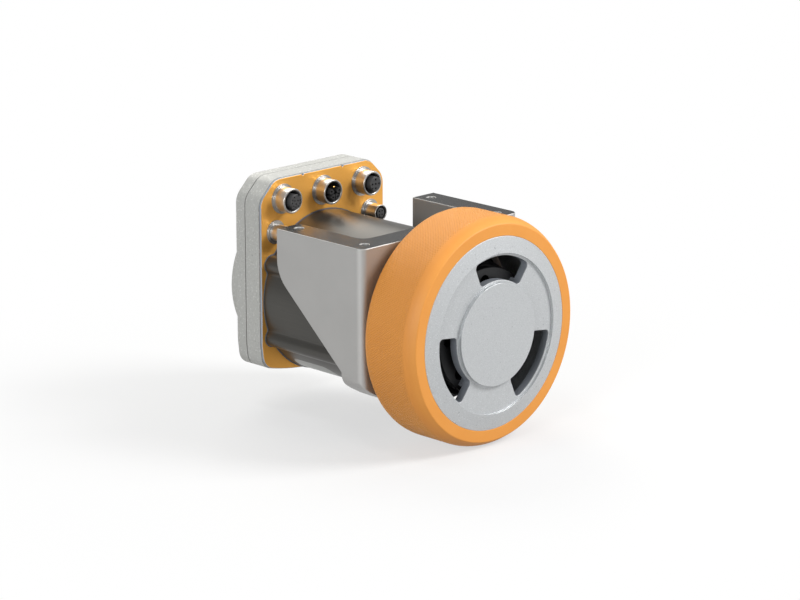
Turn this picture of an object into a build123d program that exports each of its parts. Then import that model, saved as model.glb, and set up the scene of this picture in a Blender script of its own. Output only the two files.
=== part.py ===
from build123d import *
import os
from math import atan, cos, pi, radians, sin, sqrt, tan

# Drive wheel unit of a driverless cart, in millimetres.
# It is drawn about the wheel axis, which is Y, with Y = 0 at the front ring of the wheel, and is
# moved at the end, so that the origin is the middle of the four chassis bolts on the bracket's
# top face. +Z is up and +Y runs from the wheel to the connector housing.

# Clearances
slip = 0.03                 # register or seat that is pushed together by hand
running = 0.05              # radial gap of a surface that turns in another
face_gap = 0.4              # end gap between a turning and a fixed face
cut_past = 1.0              # how far a cut runs past the faces that it opens

# Wheel
tyre_radius = 62.5
tyre_wall = 10.0
tyre_width = 38.0
tyre_edge = 7.0
lip_width = 9.0             # conical ring at the rim's front
lip_rise = 1.35             # ring's inner edge in front of its outer edge
lip_chamfer = 0.6
web_recess = 0.95           # web face behind the ring's inner edge
web_thickness = 5.2
barrel_wall_root = 6.0
barrel_wall_end = 3.0
window_count = 3
window_hub_gap = 1.0        # window to the hub cover's edge
window_lip_gap = 1.3        # window to the ring's inner edge
window_span = 58.8          # degrees
window_corner = 2.5
window_turn = 82.5          # degrees, where the first window stands at rest
wheel_pocket_radius = 21.0
hub_floor = 6.6
hub_seat_radius = 23.6      # hub's raised seat for the output flange
hub_seat_rise = 2.7         # behind the web
spoke_pad_radius = 32.5     # pads behind the spokes, level with the seat
hub_register_radius = 22.0
cover_radius = 28.0
cover_rise = 2.1            # hub cover above the web
cover_plug = 1.5            # depth of the cover's plug in the pocket
cover_edge = 0.5
wheel_screw_count = 6
wheel_screw_circle = 16.0
wheel_screw_radius = 2.5
wheel_screw_grip = 15.0
wheel_head_radius = 4.25
wheel_head_height = 3.0
wheel_head_gap = 0.3        # heads to the cover's plug

# Output flange and planet carrier
flange_width = 9.2          # output flange outside the carrier's journal
flange_thickness = 5.6
flange_tap_count = 8
flange_tap_circle = 27.3
flange_tap_radius = 3.4
flange_tap_turn = 90.7      # degrees
carrier_gear_gap = 5.0      # journal inside the ring gear's pitch circle
carrier_front_plate = 5.0
carrier_rear_plate = 4.0
carrier_rear_step = 1.0     # rear plate smaller than the journal
carrier_bore_gap = 3.0      # rear plate's bore outside the sun's pitch circle
planet_side_gap = 0.5
post_radius = 3.5
post_circle = 20.0
pin_radius = 4.0
pin_seat = 3.5              # length of pin held in each carrier plate
bush_wall = 1.5
seal_width = 3.0
bearing_width = 7.5
bearing_section = 8.0       # radial height of the crossed roller bearing
bearing_split = 1.6         # gap between the two bearing rings
output_roller_count = 16
output_roller_radius = 1.9
output_roller_length = 3.6

# Gears
gear_module = 1.0
sun_teeth = 12
planet_teeth = 24
planet_count = 3
first_planet = 90.0         # degrees
gear_width = 10.0
pressure_angle = 20.0
addendum = 0.8              # shares of the module
dedendum = 1.05
backlash = 0.12             # taken off every tooth at the pitch circle
flank_steps = 3

# Gearbox housing
housing_wall = 3.5          # round the bearing seat
drum_chamfer_length = 2.8
drum_chamfer_depth = 1.9
bearing_shoulder = 1.5
ring_gear_wall = 2.4
flange_ear_width = 6.5
flange_ear_thickness = 6.0
gearbox_spigot = 8.0        # into the bracket plate
gearbox_screw_count = 6
gearbox_screw_radius = 1.5
gearbox_screw_bite = 5.0    # length screwed into the bracket plate
gearbox_head_radius = 2.75
gearbox_head_height = 3.0

# Bracket
wheel_gap = 1.6             # tyre to bracket
plate_thickness = 15.8
arm_bolt_wall = 7.1         # bay to the bolts' centres
axis_drop = 49.0            # top face above the wheel axis
plate_sole_radius = 100.0
plate_sole_drop = 45.4      # lowest point of the plate below the wheel axis
sole_corner = 8.0
front_corner = 4.5
bay_corner = 6.0
gusset_start = 23.6         # height of the slanted edge at the arm's end
gusset_angle = 41.8
gusset_bend = 18.0
bay_gap = 0.6               # bracket arms to motor
bolt_spacing_x = 100.0
bolt_spacing_y = 50.0
bolt_edge_x = 9.5           # bolt centres to the bracket's side
bolt_edge_y = 7.6           # bolt centres to the bracket's front and rear
bolt_core_radius = 2.5
bolt_depth = 16.0
bracket_edge = 0.5          # chamfer round the top and the front

# Motor
motor_radius = 44.8
motor_wall = 6.3
motor_length = 77.5
lobe_sink = 0.8             # lobe centres inside the motor's radius
lobe_radius = 5.0
lobe_angle = 28.0           # from the horizontal
lobe_fillet = 2.5
tie_rod_radius = 2.5
tie_rod_clearance = 0.2
tie_rod_bite = 10.0         # length screwed into the bracket plate
tie_head_radius = 4.25
tie_head_height = 3.0
motor_pilot_step = 3.5      # front shield's pilot inside the motor's bore
shield_thickness = 6.0
shield_boss = 3.0           # wall round a motor bearing
bearing_lip = 2.0           # shoulder under a motor bearing
motor_bearing_radius = 14.0
motor_bearing_bore = 6.0
motor_bearing_width = 8.0
race_wall = 2.2
roller_end_gap = 1.0
motor_roller_count = 8
rear_shield_inset = 4.0
stator_length = 32.0
stator_start = 18.0         # behind the motor's front end
stator_height = 14.0         # from the motor's bore to the air gap
tooth_count = 12
tooth_width = 5.0
tooth_tip_height = 2.0
tooth_tip_span = 25.0       # degrees
back_iron = 5.0
coil_thickness = 2.2
coil_overhang = 4.0
coil_gap = 0.3
magnet_thickness = 2.2
air_gap = 0.5
magnet_count = 10
magnet_span = 30.0
shaft_radius = 8.0
shaft_tail = 5.0            # past the rear bearing
shaft_step_gap = 1.0        # bearing seats longer than the bearings
pinion_neck_radius = 4.6
encoder_radius = 7.0
encoder_length = 5.0
plate_span = 86.0           # underside plate, degrees about the motor axis
plate_pocket = 0.5
plate_sheet = 0.4
plate_end_gap = 5.9         # to the motor's rear end
plate_length = 32.0
plate_corner = 6.0
plate_margin = 0.3

# Electronics housing
box_side_margin = 1.9       # box wider than the motor, on each side
box_sole_drop = 43.4
box_sole_radius = 165.0
box_bevel = 10.8            # legs of the bevelled top corners
box_bevel_round = 10.0
box_sole_corner = 8.0
box_side_bend = -24.0       # height where the sides begin to lean inwards
box_side_lean = 6.8         # degrees
box_side_round = 40.0       # radius of that bend
box_wall = 3.0
panel_thickness = 1.5
panel_inset = 0.5
panel_notch = 0.8
panel_notch_x = 15.0
front_shell_depth = 10.7
gasket_thickness = 0.6
gasket_inset = 0.7
rear_shell_depth = 7.8
rear_edge = 1.5
dome_margin = 2.2           # dome inside the box's sides
dome_rise = 8.5
dome_centre = 4.5
dome_edge = 4.0
collar_width = 0.4
collar_stand = 0.3
cable_hole = 18.0
boss_radius = 3.8
cover_boss_radius = 5.0     # round the sunk heads in the rear cover
cover_screw_radius = 1.65
cover_screw_hole = 2.0
cover_screw_bite = 4.2      # length screwed into the front shell
cover_head_radius = 3.4
cover_head_height = 2.2
cover_hex = 1.25
cover_head_sink = 0.2       # heads below the rear face
cover_head_gap = 0.2        # heads to their counterbores
cover_screw_inset = 6.2     # from the sides and from the top
cover_screw_low = 12.4      # above the sole
cover_screw_high = 19.3     # below the top
cover_screw_middle = 14.0   # sideways, of the top pair
hex_depth = 0.6             # share of the head's height

# Controller board
board_gap = 1.1             # board to the tie rods' heads
board_thickness = 1.6
board_margin = 1.0
standoff_radius = 2.5
standoff_places = ((15.0, 46.0), (27.0, -28.0))
capacitor_radius = 6.0
capacitor_length = 9.0
capacitor_places = ((-22.0, 0.0), (-22.0, -14.0), (-22.0, 14.0))
chip_size = 12.0
chip_height = 2.0
chip_places = ((8.0, 22.0), (24.0, 22.0), (24.0, 4.0), (24.0, -14.0))
sensor_size = 6.0
sensor_height = 1.2

# Sockets
large_socket_inset = 16.6    # of the outer ones, from the box's side
large_socket_gap = 2.2      # flange to the motor's collar
large_socket_margin = 3.2   # flange to the box's top
large_flange_radius = 8.6
large_barrel_radius = 6.85
large_reach = 7.9
large_nut_flats = 15.0
small_socket_angle = 47.0   # from the horizontal
small_socket_gap = 0.2
small_flange_radius = 6.9
small_barrel_radius = 4.65
small_reach = 8.7
small_nut_flats = 11.0
socket_flange = 1.6
socket_wall = 1.2
socket_edge = 0.4
neck_step = 0.8             # threaded neck inside the barrel's radius
neck_past_nut = 0.5
socket_nut_height = 2.5
insert_recess = 1.0
insert_island = 0.78        # share of the bore
contact_depth = 1.2
earth_pin_radius = 0.5
earth_pin_height = 0.8
earth_pin_share = 0.78      # of the island's radius

# Rings of contacts in each socket: count, share of the island's radius, first angle
contact_rings = {
    "signal": ((8, 0.72, 22.5), (4, 0.3, 0.0)),
    "power": ((4, 0.5, 45.0),),
    "bus": ((4, 0.6, 45.0), (1, 0.0, 0.0)),
    "service": ((4, 0.55, 45.0),),
    "sensor": ((4, 0.55, 45.0),),
}
contact_radius = {"signal": 0.42, "power": 0.95, "bus": 0.6, "service": 0.4, "sensor": 0.4}

# Gear geometry
ring_teeth = sun_teeth + 2 * planet_teeth
sun_pitch = gear_module * sun_teeth / 2
planet_pitch = gear_module * planet_teeth / 2
ring_pitch = gear_module * ring_teeth / 2
ring_root = ring_pitch + dedendum * gear_module
planet_orbit = sun_pitch + planet_pitch

# Radii that follow from others
rim_radius = tyre_radius - tyre_wall
lip_inner = rim_radius - lip_width
window_inner = cover_radius + window_hub_gap
window_outer = lip_inner - window_lip_gap
carrier_radius = ring_pitch - carrier_gear_gap
flange_radius = carrier_radius + flange_width
bearing_outer = carrier_radius + bearing_section
bearing_middle = carrier_radius + bearing_section / 2
drum_radius = bearing_outer + housing_wall
gear_seat = ring_root + ring_gear_wall
flange_ear_radius = drum_radius + flange_ear_width
gearbox_screw_circle = drum_radius + flange_ear_width / 2
motor_bore = motor_radius - motor_wall
motor_pilot = motor_bore - motor_pilot_step
lobe_circle = motor_radius - lobe_sink
stator_bore = motor_bore - stator_height
magnet_outer = stator_bore - air_gap
rotor_radius = magnet_outer - magnet_thickness
bracket_half_width = bolt_spacing_x / 2 + bolt_edge_x
arm_inner = bolt_spacing_x / 2 - arm_bolt_wall

# Stations along the axis
web_front = web_recess - lip_rise
web_rear = web_front + web_thickness
flange_front = web_rear + hub_seat_rise
cover_front = web_front - cover_rise
pocket_floor = web_front + cover_plug + wheel_head_gap + wheel_head_height
hub_rear = pocket_floor + hub_floor
flange_rear = flange_front + flange_thickness
drum_front = flange_rear + face_gap
seal_rear = drum_front + seal_width
bearing_front = seal_rear + face_gap
bearing_rear = bearing_front + bearing_width
carrier_front_rear = bearing_rear + carrier_front_plate
gear_front = carrier_front_rear + planet_side_gap
gear_rear = gear_front + gear_width
carrier_rear_front = gear_rear + planet_side_gap
carrier_end = carrier_rear_front + carrier_rear_plate
plate_front = tyre_width + wheel_gap
ear_front = plate_front - flange_ear_thickness
spigot_end = plate_front + gearbox_spigot
plate_rear = plate_front + plate_thickness
arm_end = plate_front + 2 * bolt_edge_y + bolt_spacing_y
bolt_mid = (plate_front + arm_end) / 2
motor_front = plate_rear
motor_rear = motor_front + motor_length
stator_front = motor_front + stator_start
stator_rear = stator_front + stator_length
front_bearing = motor_front + bearing_lip
rear_bearing = motor_rear - rear_shield_inset - bearing_lip - motor_bearing_width
shaft_end = rear_bearing + motor_bearing_width + shaft_tail
shell_front = motor_rear
panel_front = shell_front - panel_thickness
wall_inner = shell_front + box_wall
seam_front = shell_front + front_shell_depth
seam_rear = seam_front + gasket_thickness
box_rear = seam_rear + rear_shell_depth
cover_seat = box_rear - cover_head_sink - cover_head_height
dome_rear = box_rear + dome_rise
board_front = wall_inner + tie_head_height + board_gap
board_rear = board_front + board_thickness

# Box and sockets
box_half_width = motor_radius + box_side_margin
large_socket_pitch = box_half_width - large_socket_inset
large_socket_z = motor_radius + collar_width + large_socket_gap + large_flange_radius
small_socket_circle = motor_radius + collar_width + small_socket_gap + small_flange_radius
box_top = large_socket_z + large_flange_radius + large_socket_margin
dome_radius = box_half_width - dome_margin


# Basic shapes

def prism(sketch, y0, y1):
    """Sketch in the X, Z plane, pushed from y0 to y1."""
    return extrude(Plane.XZ.offset(-y1) * sketch, amount=y1 - y0)


def turned(points):
    """Closed outline of (radius, y) points, turned about the wheel axis."""
    return revolve(make_face(Polyline(points, close=True)), Axis.Y)


def ring(outer, inner, y0, y1):
    return turned([(inner, y0), (outer, y0), (outer, y1), (inner, y1)])


def rod(radius, y0, y1, place=(0, 0)):
    return prism(Pos(*place) * Circle(radius), y0, y1)


def wedge(span, reach):
    """Triangle from the axis, as wide as the span in degrees, centred on +X."""
    half = radians(span / 2)
    return make_face(Polyline([(0, 0), (reach * cos(half), reach * sin(half)),
                               (reach * cos(half), -reach * sin(half))], close=True))


def on_circle(count, radius, start=0.0):
    """Evenly spaced (x, z) places on a circle."""
    turns = [radians(start + 360 * i / count) for i in range(count)]
    return [(radius * cos(a), radius * sin(a)) for a in turns]


def about_axis(shape, angle):
    """Shape turned about the wheel axis, from +X towards +Z."""
    return Rot(0, -angle, 0) * shape


def both_sides(places):
    return [(side * x, z) for x, z in places for side in (1, -1)]


def edges_at(shape, y):
    """Edges that lie in the plane at y."""
    flat = []
    for edge in shape.edges():
        box = edge.bounding_box()
        if abs(box.min.Y - y) < 1e-4 and abs(box.max.Y - y) < 1e-4:
            flat.append(edge)
    return flat


def head_screws(places, radius, seat, length, head_radius, head_height, side=-1, hex_radius=0.0):
    """Screws along Y; side -1 has the heads in front of the seat, and 1 behind it."""
    top = seat + side * head_height
    made = []
    for place in places:
        screw = rod(head_radius, *sorted((seat, top)), place)
        if hex_radius:
            sink = sorted((top, top - side * head_height * hex_depth))
            screw -= prism(Pos(*place) * RegularPolygon(hex_radius, 6), *sink)
        made.append(screw + rod(radius, *sorted((seat, seat - side * length)), place))
    return made


def save(name, *shapes):
    """Moves one sub-part to the bolt pattern's frame and writes it."""
    solids = [solid for shape in shapes for solid in shape.solids()]
    moved = [Pos(0, -bolt_mid, -axis_drop) * solid for solid in solids]
    export_step(moved[0] if len(moved) == 1 else Compound(moved), f"parts/{name}.step")


# Wheel

def tyre():
    """Cast polyurethane tread on the rim."""
    outline = make_face(Polyline([(rim_radius, 0), (tyre_radius, 0), (tyre_radius, tyre_width),
                                  (rim_radius, tyre_width)], close=True))
    shoulders = [v for v in outline.vertices() if abs(v.X - tyre_radius) < 1e-6]
    return revolve(fillet(shoulders, min(tyre_edge, 0.9 * tyre_wall, 0.4 * tyre_width)), Axis.Y)


def window_sector(inner, outer):
    """Ring sector as wide as a window, centred on +X."""
    return (Circle(outer) - Circle(inner)) & wedge(window_span, 2 * outer)


def window_sketch():
    return fillet(window_sector(window_inner, window_outer).vertices(), window_corner)


def wheel_screw_places():
    return on_circle(wheel_screw_count, wheel_screw_circle, window_turn)


def wheel_rim():
    """Cast rim: conical ring, recessed web with three windows, barrel and hub with a register."""
    body = turned([
        (0, web_front), (lip_inner, web_front), (lip_inner, -lip_rise),
        (rim_radius - lip_chamfer, 0), (rim_radius, lip_chamfer), (rim_radius, tyre_width),
        (rim_radius - barrel_wall_end, tyre_width), (rim_radius - barrel_wall_root, web_rear),
        (spoke_pad_radius, web_rear), (spoke_pad_radius, flange_front),
        (hub_register_radius, flange_front), (hub_register_radius, hub_rear), (0, hub_rear)])
    body -= rod(wheel_pocket_radius, web_front, pocket_floor)
    for place in wheel_screw_places():
        body -= rod(wheel_screw_radius, pocket_floor, hub_rear, place)
    between_pads = window_sector(hub_seat_radius, spoke_pad_radius + cut_past)
    for i in range(window_count):
        hole = prism(window_sketch(), web_front - cut_past, web_rear + cut_past)
        hole += prism(between_pads, web_rear, flange_front + cut_past)
        body -= about_axis(hole, window_turn + 360 * i / window_count)
    return body


def hub_cover():
    """Plain cap that plugs the pocket over the wheel screws."""
    cap = rod(cover_radius, cover_front, web_front)
    cap = fillet(edges_at(cap, cover_front), cover_edge)
    return cap + rod(wheel_pocket_radius - slip, web_front, web_front + cover_plug)


# Gears

def involute(angle):
    return tan(angle) - angle


def gear_outline(teeth, tip, root, thinning, turn):
    """Outline of an involute gear, with a few straight steps along each flank."""
    pitch = gear_module * teeth / 2
    alpha = radians(pressure_angle)
    base = pitch * cos(alpha)
    half = (pi * gear_module / 2 - thinning) / (2 * pitch)

    def half_angle(r):
        slope = sqrt(max((r / base) ** 2 - 1, 0.0))
        return half + involute(alpha) - (slope - atan(slope))

    start = max(base, root)
    radii = [start + (tip - start) * i / flank_steps for i in range(flank_steps + 1)]
    points = []
    for k in range(teeth):
        middle = turn + 2 * pi * k / teeth
        rising = [(r, middle - half_angle(r)) for r in radii]
        falling = [(r, middle + half_angle(r)) for r in reversed(radii)]
        if root < base:
            rising.insert(0, (root, middle - half_angle(start)))
            falling.append((root, middle + half_angle(start)))
        points += [(r * cos(a), r * sin(a)) for r, a in rising + falling]
    return make_face(Polyline(points, close=True))


def external_gear(teeth, turn):
    pitch = gear_module * teeth / 2
    return gear_outline(teeth, pitch + addendum * gear_module, pitch - dedendum * gear_module,
                        backlash, turn)


def planet_angle(i):
    """Angle of planet i, at a step where it meshes with both the sun and the ring gear."""
    steps = sun_teeth + ring_teeth
    return first_planet + 360 * round(i * steps / planet_count) / steps


def planet_places():
    turns = [radians(planet_angle(i)) for i in range(planet_count)]
    return [(planet_orbit * cos(a), planet_orbit * sin(a)) for a in turns]


def planet_section(i):
    """Section of planet i, turned to mesh with the sun, whose first tooth points along +X."""
    a = radians(planet_angle(i))
    turn = a + pi - pi / planet_teeth + a * sun_teeth / planet_teeth
    return external_gear(planet_teeth, turn) - Circle(pin_radius + bush_wall)


def planet_gear(i):
    return prism(Pos(*planet_places()[i]) * planet_section(i), gear_front, gear_rear)


def planet_bush(i):
    """Bronze bush pressed into a planet, running on its pin."""
    tube = Circle(pin_radius + bush_wall) - Circle(pin_radius + running)
    return prism(Pos(*planet_places()[i]) * tube, gear_front, gear_rear)


def ring_section():
    """Blank less the tooth spaces, turned to mesh with the first planet."""
    turn = radians(first_planet) * (ring_teeth + sun_teeth) / ring_teeth + pi / ring_teeth
    spaces = gear_outline(ring_teeth, ring_root, ring_pitch - addendum * gear_module, -backlash, turn)
    return Circle(gear_seat) - spaces


def ring_gear():
    """Fixed internal gear, pressed into the housing."""
    return prism(ring_section(), gear_front, gear_rear)


# Output side of the gearbox

def post_places():
    return on_circle(planet_count, post_circle, first_planet + 180 / planet_count)


def output_flange():
    """Output flange, bearing journal and front plate of the planet carrier, in one piece."""
    register = hub_register_radius + slip
    body = turned([
        (0, hub_rear), (register, hub_rear), (register, flange_front), (flange_radius, flange_front),
        (flange_radius, flange_rear), (carrier_radius, flange_rear),
        (carrier_radius, carrier_front_rear), (0, carrier_front_rear)])
    for place in on_circle(flange_tap_count, flange_tap_circle, flange_tap_turn):
        body -= rod(flange_tap_radius, flange_front, flange_rear, place)
    for place in wheel_screw_places():
        body -= rod(wheel_screw_radius, hub_rear, pocket_floor + wheel_screw_grip, place)
    for place in planet_places():
        body -= rod(pin_radius, carrier_front_rear - pin_seat, carrier_front_rear, place)
    for place in post_places():
        body += rod(post_radius, carrier_front_rear, carrier_rear_front, place)
    return body


def carrier_plate():
    """Rear plate of the planet carrier, seated on the three posts."""
    plate = ring(carrier_radius - carrier_rear_step, sun_pitch + carrier_bore_gap,
                 carrier_rear_front, carrier_end)
    for place in planet_places():
        plate -= rod(pin_radius, carrier_rear_front, carrier_rear_front + pin_seat, place)
    return plate


def planet_pins():
    return [rod(pin_radius, carrier_front_rear - pin_seat, carrier_rear_front + pin_seat, place)
            for place in planet_places()]


def shaft_seal():
    """Radial seal between the carrier's journal and the drum."""
    return ring(bearing_outer, carrier_radius + running, drum_front, seal_rear)


def bearing_ring(outer):
    """Outer or inner ring of the crossed roller bearing, with its V groove."""
    side = 1 if outer else -1
    seat = bearing_outer if outer else carrier_radius
    centre = (bearing_front + bearing_rear) / 2
    land = bearing_middle + side * bearing_split / 2
    groove = output_roller_radius * sqrt(2) + running
    half = groove - bearing_split / 2
    return turned([(seat, bearing_front), (land, bearing_front), (land, centre - half),
                   (bearing_middle + side * groove, centre), (land, centre + half),
                   (land, bearing_rear), (seat, bearing_rear)])


def output_rollers():
    """Rollers at right angles to their neighbours, all in one V groove."""
    centre = (bearing_front + bearing_rear) / 2
    made = []
    for i in range(output_roller_count):
        tilt = 45 if i % 2 else -45
        roller = Rot(0, 0, tilt) * Rot(0, 90, 0) * Cylinder(output_roller_radius, output_roller_length)
        made.append(about_axis(Pos(bearing_middle, centre, 0) * roller, 360 * i / output_roller_count))
    return made


# Fixed side of the gearbox

def gearbox_screw_places():
    return on_circle(gearbox_screw_count, gearbox_screw_circle)


def gearbox_housing():
    """Drum with seal, bearing and ring gear seats, a screwed flange and a spigot."""
    shoulder = bearing_outer - bearing_shoulder
    body = turned([
        (bearing_outer, drum_front), (drum_radius - drum_chamfer_depth, drum_front),
        (drum_radius, drum_front + drum_chamfer_length), (drum_radius, ear_front),
        (flange_ear_radius, ear_front), (flange_ear_radius, plate_front),
        (drum_radius, plate_front), (drum_radius, spigot_end), (gear_seat, spigot_end),
        (gear_seat, gear_front), (shoulder, gear_front), (shoulder, bearing_rear),
        (bearing_outer, bearing_rear)])
    for place in gearbox_screw_places():
        body -= rod(gearbox_screw_radius, ear_front, plate_front, place)
    return body


# Bracket

def lobe_places():
    a = radians(lobe_angle)
    return both_sides([(lobe_circle * cos(a), lobe_circle * sin(a)),
                       (lobe_circle * cos(a), -lobe_circle * sin(a))])


def motor_outline(grow=0.0):
    """Round motor section with four lobes for the tie rods."""
    section = Circle(motor_radius + grow)
    for place in lobe_places():
        section += Pos(*place) * Circle(lobe_radius + grow)
    return fillet(section.vertices(), lobe_fillet)


def bolt_places():
    return [(sx * bolt_spacing_x / 2, bolt_mid + sy * bolt_spacing_y / 2)
            for sx in (1, -1) for sy in (1, -1)]


def plate_outline():
    """Front view of the bracket: straight sides and a large round sole."""
    height = axis_drop + plate_sole_drop
    box = Pos(0, axis_drop - height / 2) * Rectangle(2 * bracket_half_width, height)
    sole = Pos(0, plate_sole_radius - plate_sole_drop) * Circle(plate_sole_radius)
    top = Pos(0, axis_drop / 2) * Rectangle(2 * bracket_half_width, axis_drop)
    outline = (box & sole) + top
    low = [v for v in outline.vertices() if v.Y < 0]
    return fillet(low, sole_corner)


def bracket_side():
    """Side view in the Y, Z plane: the arms taper down to the plate."""
    sole = -plate_sole_drop - cut_past
    foot = gusset_start - tan(radians(gusset_angle)) * (arm_end - plate_rear)
    side = Plane.YZ * make_face(Polyline([
        (plate_front, sole), (plate_front, axis_drop), (arm_end, axis_drop),
        (arm_end, gusset_start), (plate_rear, foot), (plate_rear, sole)], close=True))
    bend = [v for v in side.vertices()
            if abs(v.Y - arm_end) < 1e-6 and abs(v.Z - gusset_start) < 1e-6]
    return fillet(bend, gusset_bend)


def motor_bay():
    """Straight slot between the arms, rounded where it meets the plate."""
    depth = arm_end + cut_past - plate_rear
    slot = Pos(0, plate_rear + depth / 2, 0) * Box(2 * arm_inner, depth, 4 * axis_drop)
    corners = [e for e in slot.edges().filter_by(Axis.Z) if abs(e.center().Y - plate_rear) < 1e-4]
    return fillet(corners, bay_corner)


def bracket():
    """One milled bracket: a plate with two tapering arms and the motor's bay between them."""
    body = prism(plate_outline(), plate_front, arm_end)
    body &= extrude(bracket_side(), amount=bracket_half_width + cut_past, both=True)
    front = [e for e in body.edges().filter_by(Axis.Z)
             if abs(e.center().Y - plate_front) < 1e-4 and abs(e.center().X) > arm_inner]
    body = fillet(front, front_corner)
    body -= motor_bay()
    top = body.faces().sort_by(Axis.Z)[-1]
    body = chamfer(top.edges(), bracket_edge)
    body -= prism(motor_outline(bay_gap), plate_rear, arm_end + cut_past)
    body -= rod(drum_radius + slip, plate_front, spigot_end)
    body -= rod(motor_pilot + slip, spigot_end, plate_rear)
    for x, y in bolt_places():
        body -= Pos(x, y, axis_drop - bolt_depth / 2) * Cylinder(bolt_core_radius, bolt_depth)
    for place in lobe_places():
        body -= rod(tie_rod_radius, plate_rear - tie_rod_bite, plate_rear, place)
    for place in gearbox_screw_places():
        body -= rod(gearbox_screw_radius, plate_front, plate_front + gearbox_screw_bite, place)
    return body


# Motor

def underside_slab(height, margin):
    """Curved slab on the motor's underside, with rounded corners in plan."""
    half = radians(plate_span / 2)
    plan = Rectangle(2 * (motor_radius * sin(half) - margin), plate_length - 2 * margin)
    plan = fillet(plan.vertices(), plate_corner - margin)
    middle = motor_rear - plate_end_gap - plate_length / 2
    column = Plane.XY.offset(-motor_radius - cut_past) * (Pos(0, middle) * plan)
    column = extrude(column, amount=motor_radius + cut_past - motor_bore * cos(half))
    floor = motor_radius - plate_pocket
    return column & ring(floor + height, floor, motor_front, motor_rear)


def motor_body():
    """Extruded motor housing with four tie rod channels and a pocket for the underside plate."""
    section = motor_outline() - Circle(motor_bore)
    for place in lobe_places():
        section -= Pos(*place) * Circle(tie_rod_radius + tie_rod_clearance)
    return prism(section, motor_front, motor_rear) - underside_slab(plate_pocket + cut_past, 0.0)


def underside_plate():
    """Thin blank plate in the pocket."""
    return underside_slab(plate_sheet, plate_margin)


def motor_front_shield():
    """Front end shield: a pilot in the bracket plate and the seat of the front bearing."""
    hub = motor_bearing_radius + shield_boss
    lip = motor_bearing_radius - bearing_lip
    flange = motor_front + shield_thickness
    end = front_bearing + motor_bearing_width
    return turned([
        (lip, spigot_end), (motor_pilot, spigot_end), (motor_pilot, motor_front),
        (motor_bore, motor_front), (motor_bore, flange), (hub, flange), (hub, end),
        (motor_bearing_radius, end), (motor_bearing_radius, front_bearing), (lip, front_bearing)])


def motor_rear_shield():
    """Rear end shield, set inside the motor tube."""
    hub = motor_bearing_radius + shield_boss
    lip = motor_bearing_radius - bearing_lip
    face = motor_rear - rear_shield_inset
    seat = rear_bearing + motor_bearing_width
    return turned([
        (lip, face), (motor_bore, face), (motor_bore, face - shield_thickness),
        (hub, face - shield_thickness), (hub, rear_bearing), (motor_bearing_radius, rear_bearing),
        (motor_bearing_radius, seat), (lip, seat)])


def bearing_outer_ring(start):
    return ring(motor_bearing_radius, motor_bearing_radius - race_wall,
                start, start + motor_bearing_width)


def bearing_inner_ring(start):
    return ring(motor_bearing_bore + race_wall, motor_bearing_bore,
                start, start + motor_bearing_width)


def bearing_rollers(start):
    track = motor_bearing_radius - motor_bearing_bore - 2 * race_wall
    middle = (motor_bearing_radius + motor_bearing_bore) / 2
    ends = (start + roller_end_gap, start + motor_bearing_width - roller_end_gap)
    return [rod(track / 2 - running, *ends, place) for place in on_circle(motor_roller_count, middle)]


def stator_core():
    """Laminated stack with twelve teeth."""
    inner_iron = motor_bore - back_iron
    section = Circle(motor_bore) - Circle(inner_iron)
    tip = (Circle(stator_bore + tooth_tip_height) - Circle(stator_bore)) & wedge(tooth_tip_span, motor_bore)
    stem_start = stator_bore + tooth_tip_height / 2
    stem_end = inner_iron + back_iron / 2
    stem = Pos((stem_start + stem_end) / 2, 0) * Rectangle(stem_end - stem_start, tooth_width)
    for i in range(tooth_count):
        section += Rot(0, 0, 360 * i / tooth_count) * (tip + stem)
    return prism(section, stator_front, stator_rear)


def stator_coils():
    """One coil round each tooth."""
    inner_width = tooth_width + 2 * coil_gap
    inner_length = stator_length + 2 * coil_gap
    outer_width = inner_width + 2 * coil_thickness
    outer_length = inner_length + 2 * coil_overhang
    low = stator_bore + tooth_tip_height + coil_gap
    high = sqrt((motor_bore - back_iron) ** 2 - (outer_width / 2) ** 2) - coil_gap
    winding = Box(high - low, outer_length, outer_width) - Box(high - low, inner_length, inner_width)
    coil = Pos((low + high) / 2, (stator_front + stator_rear) / 2, 0) * winding
    return [about_axis(coil, 360 * i / tooth_count) for i in range(tooth_count)]


def motor_shaft():
    """Stepped shaft with the sun pinion cut on its front end."""
    front_step = front_bearing - shaft_step_gap
    core_front = front_bearing + motor_bearing_width + shaft_step_gap
    core_rear = rear_bearing - shaft_step_gap
    shaft = turned([
        (0, gear_rear), (pinion_neck_radius, gear_rear), (pinion_neck_radius, front_step),
        (motor_bearing_bore, front_step), (motor_bearing_bore, core_front),
        (shaft_radius, core_front), (shaft_radius, core_rear),
        (motor_bearing_bore, core_rear), (motor_bearing_bore, shaft_end), (0, shaft_end)])
    return shaft + prism(external_gear(sun_teeth, 0.0), gear_front, gear_rear)


def rotor_core():
    return ring(rotor_radius, shaft_radius, stator_front, stator_rear)


def rotor_magnets():
    """Curved magnets on the rotor core."""
    arc = (Circle(magnet_outer) - Circle(rotor_radius)) & wedge(magnet_span, 2 * magnet_outer)
    magnet = prism(arc, stator_front, stator_rear)
    return [about_axis(magnet, 360 * i / magnet_count) for i in range(magnet_count)]


def encoder_magnet():
    """Magnet on the shaft's rear end, read by the sensor on the board."""
    return rod(encoder_radius, shaft_end, shaft_end + encoder_length)


def tie_rods():
    """Long screws through the motor, from the box's front wall into the bracket."""
    return head_screws(lobe_places(), tie_rod_radius, wall_inner, wall_inner - plate_rear + tie_rod_bite,
                       tie_head_radius, tie_head_height, side=1)


# Electronics housing

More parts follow.
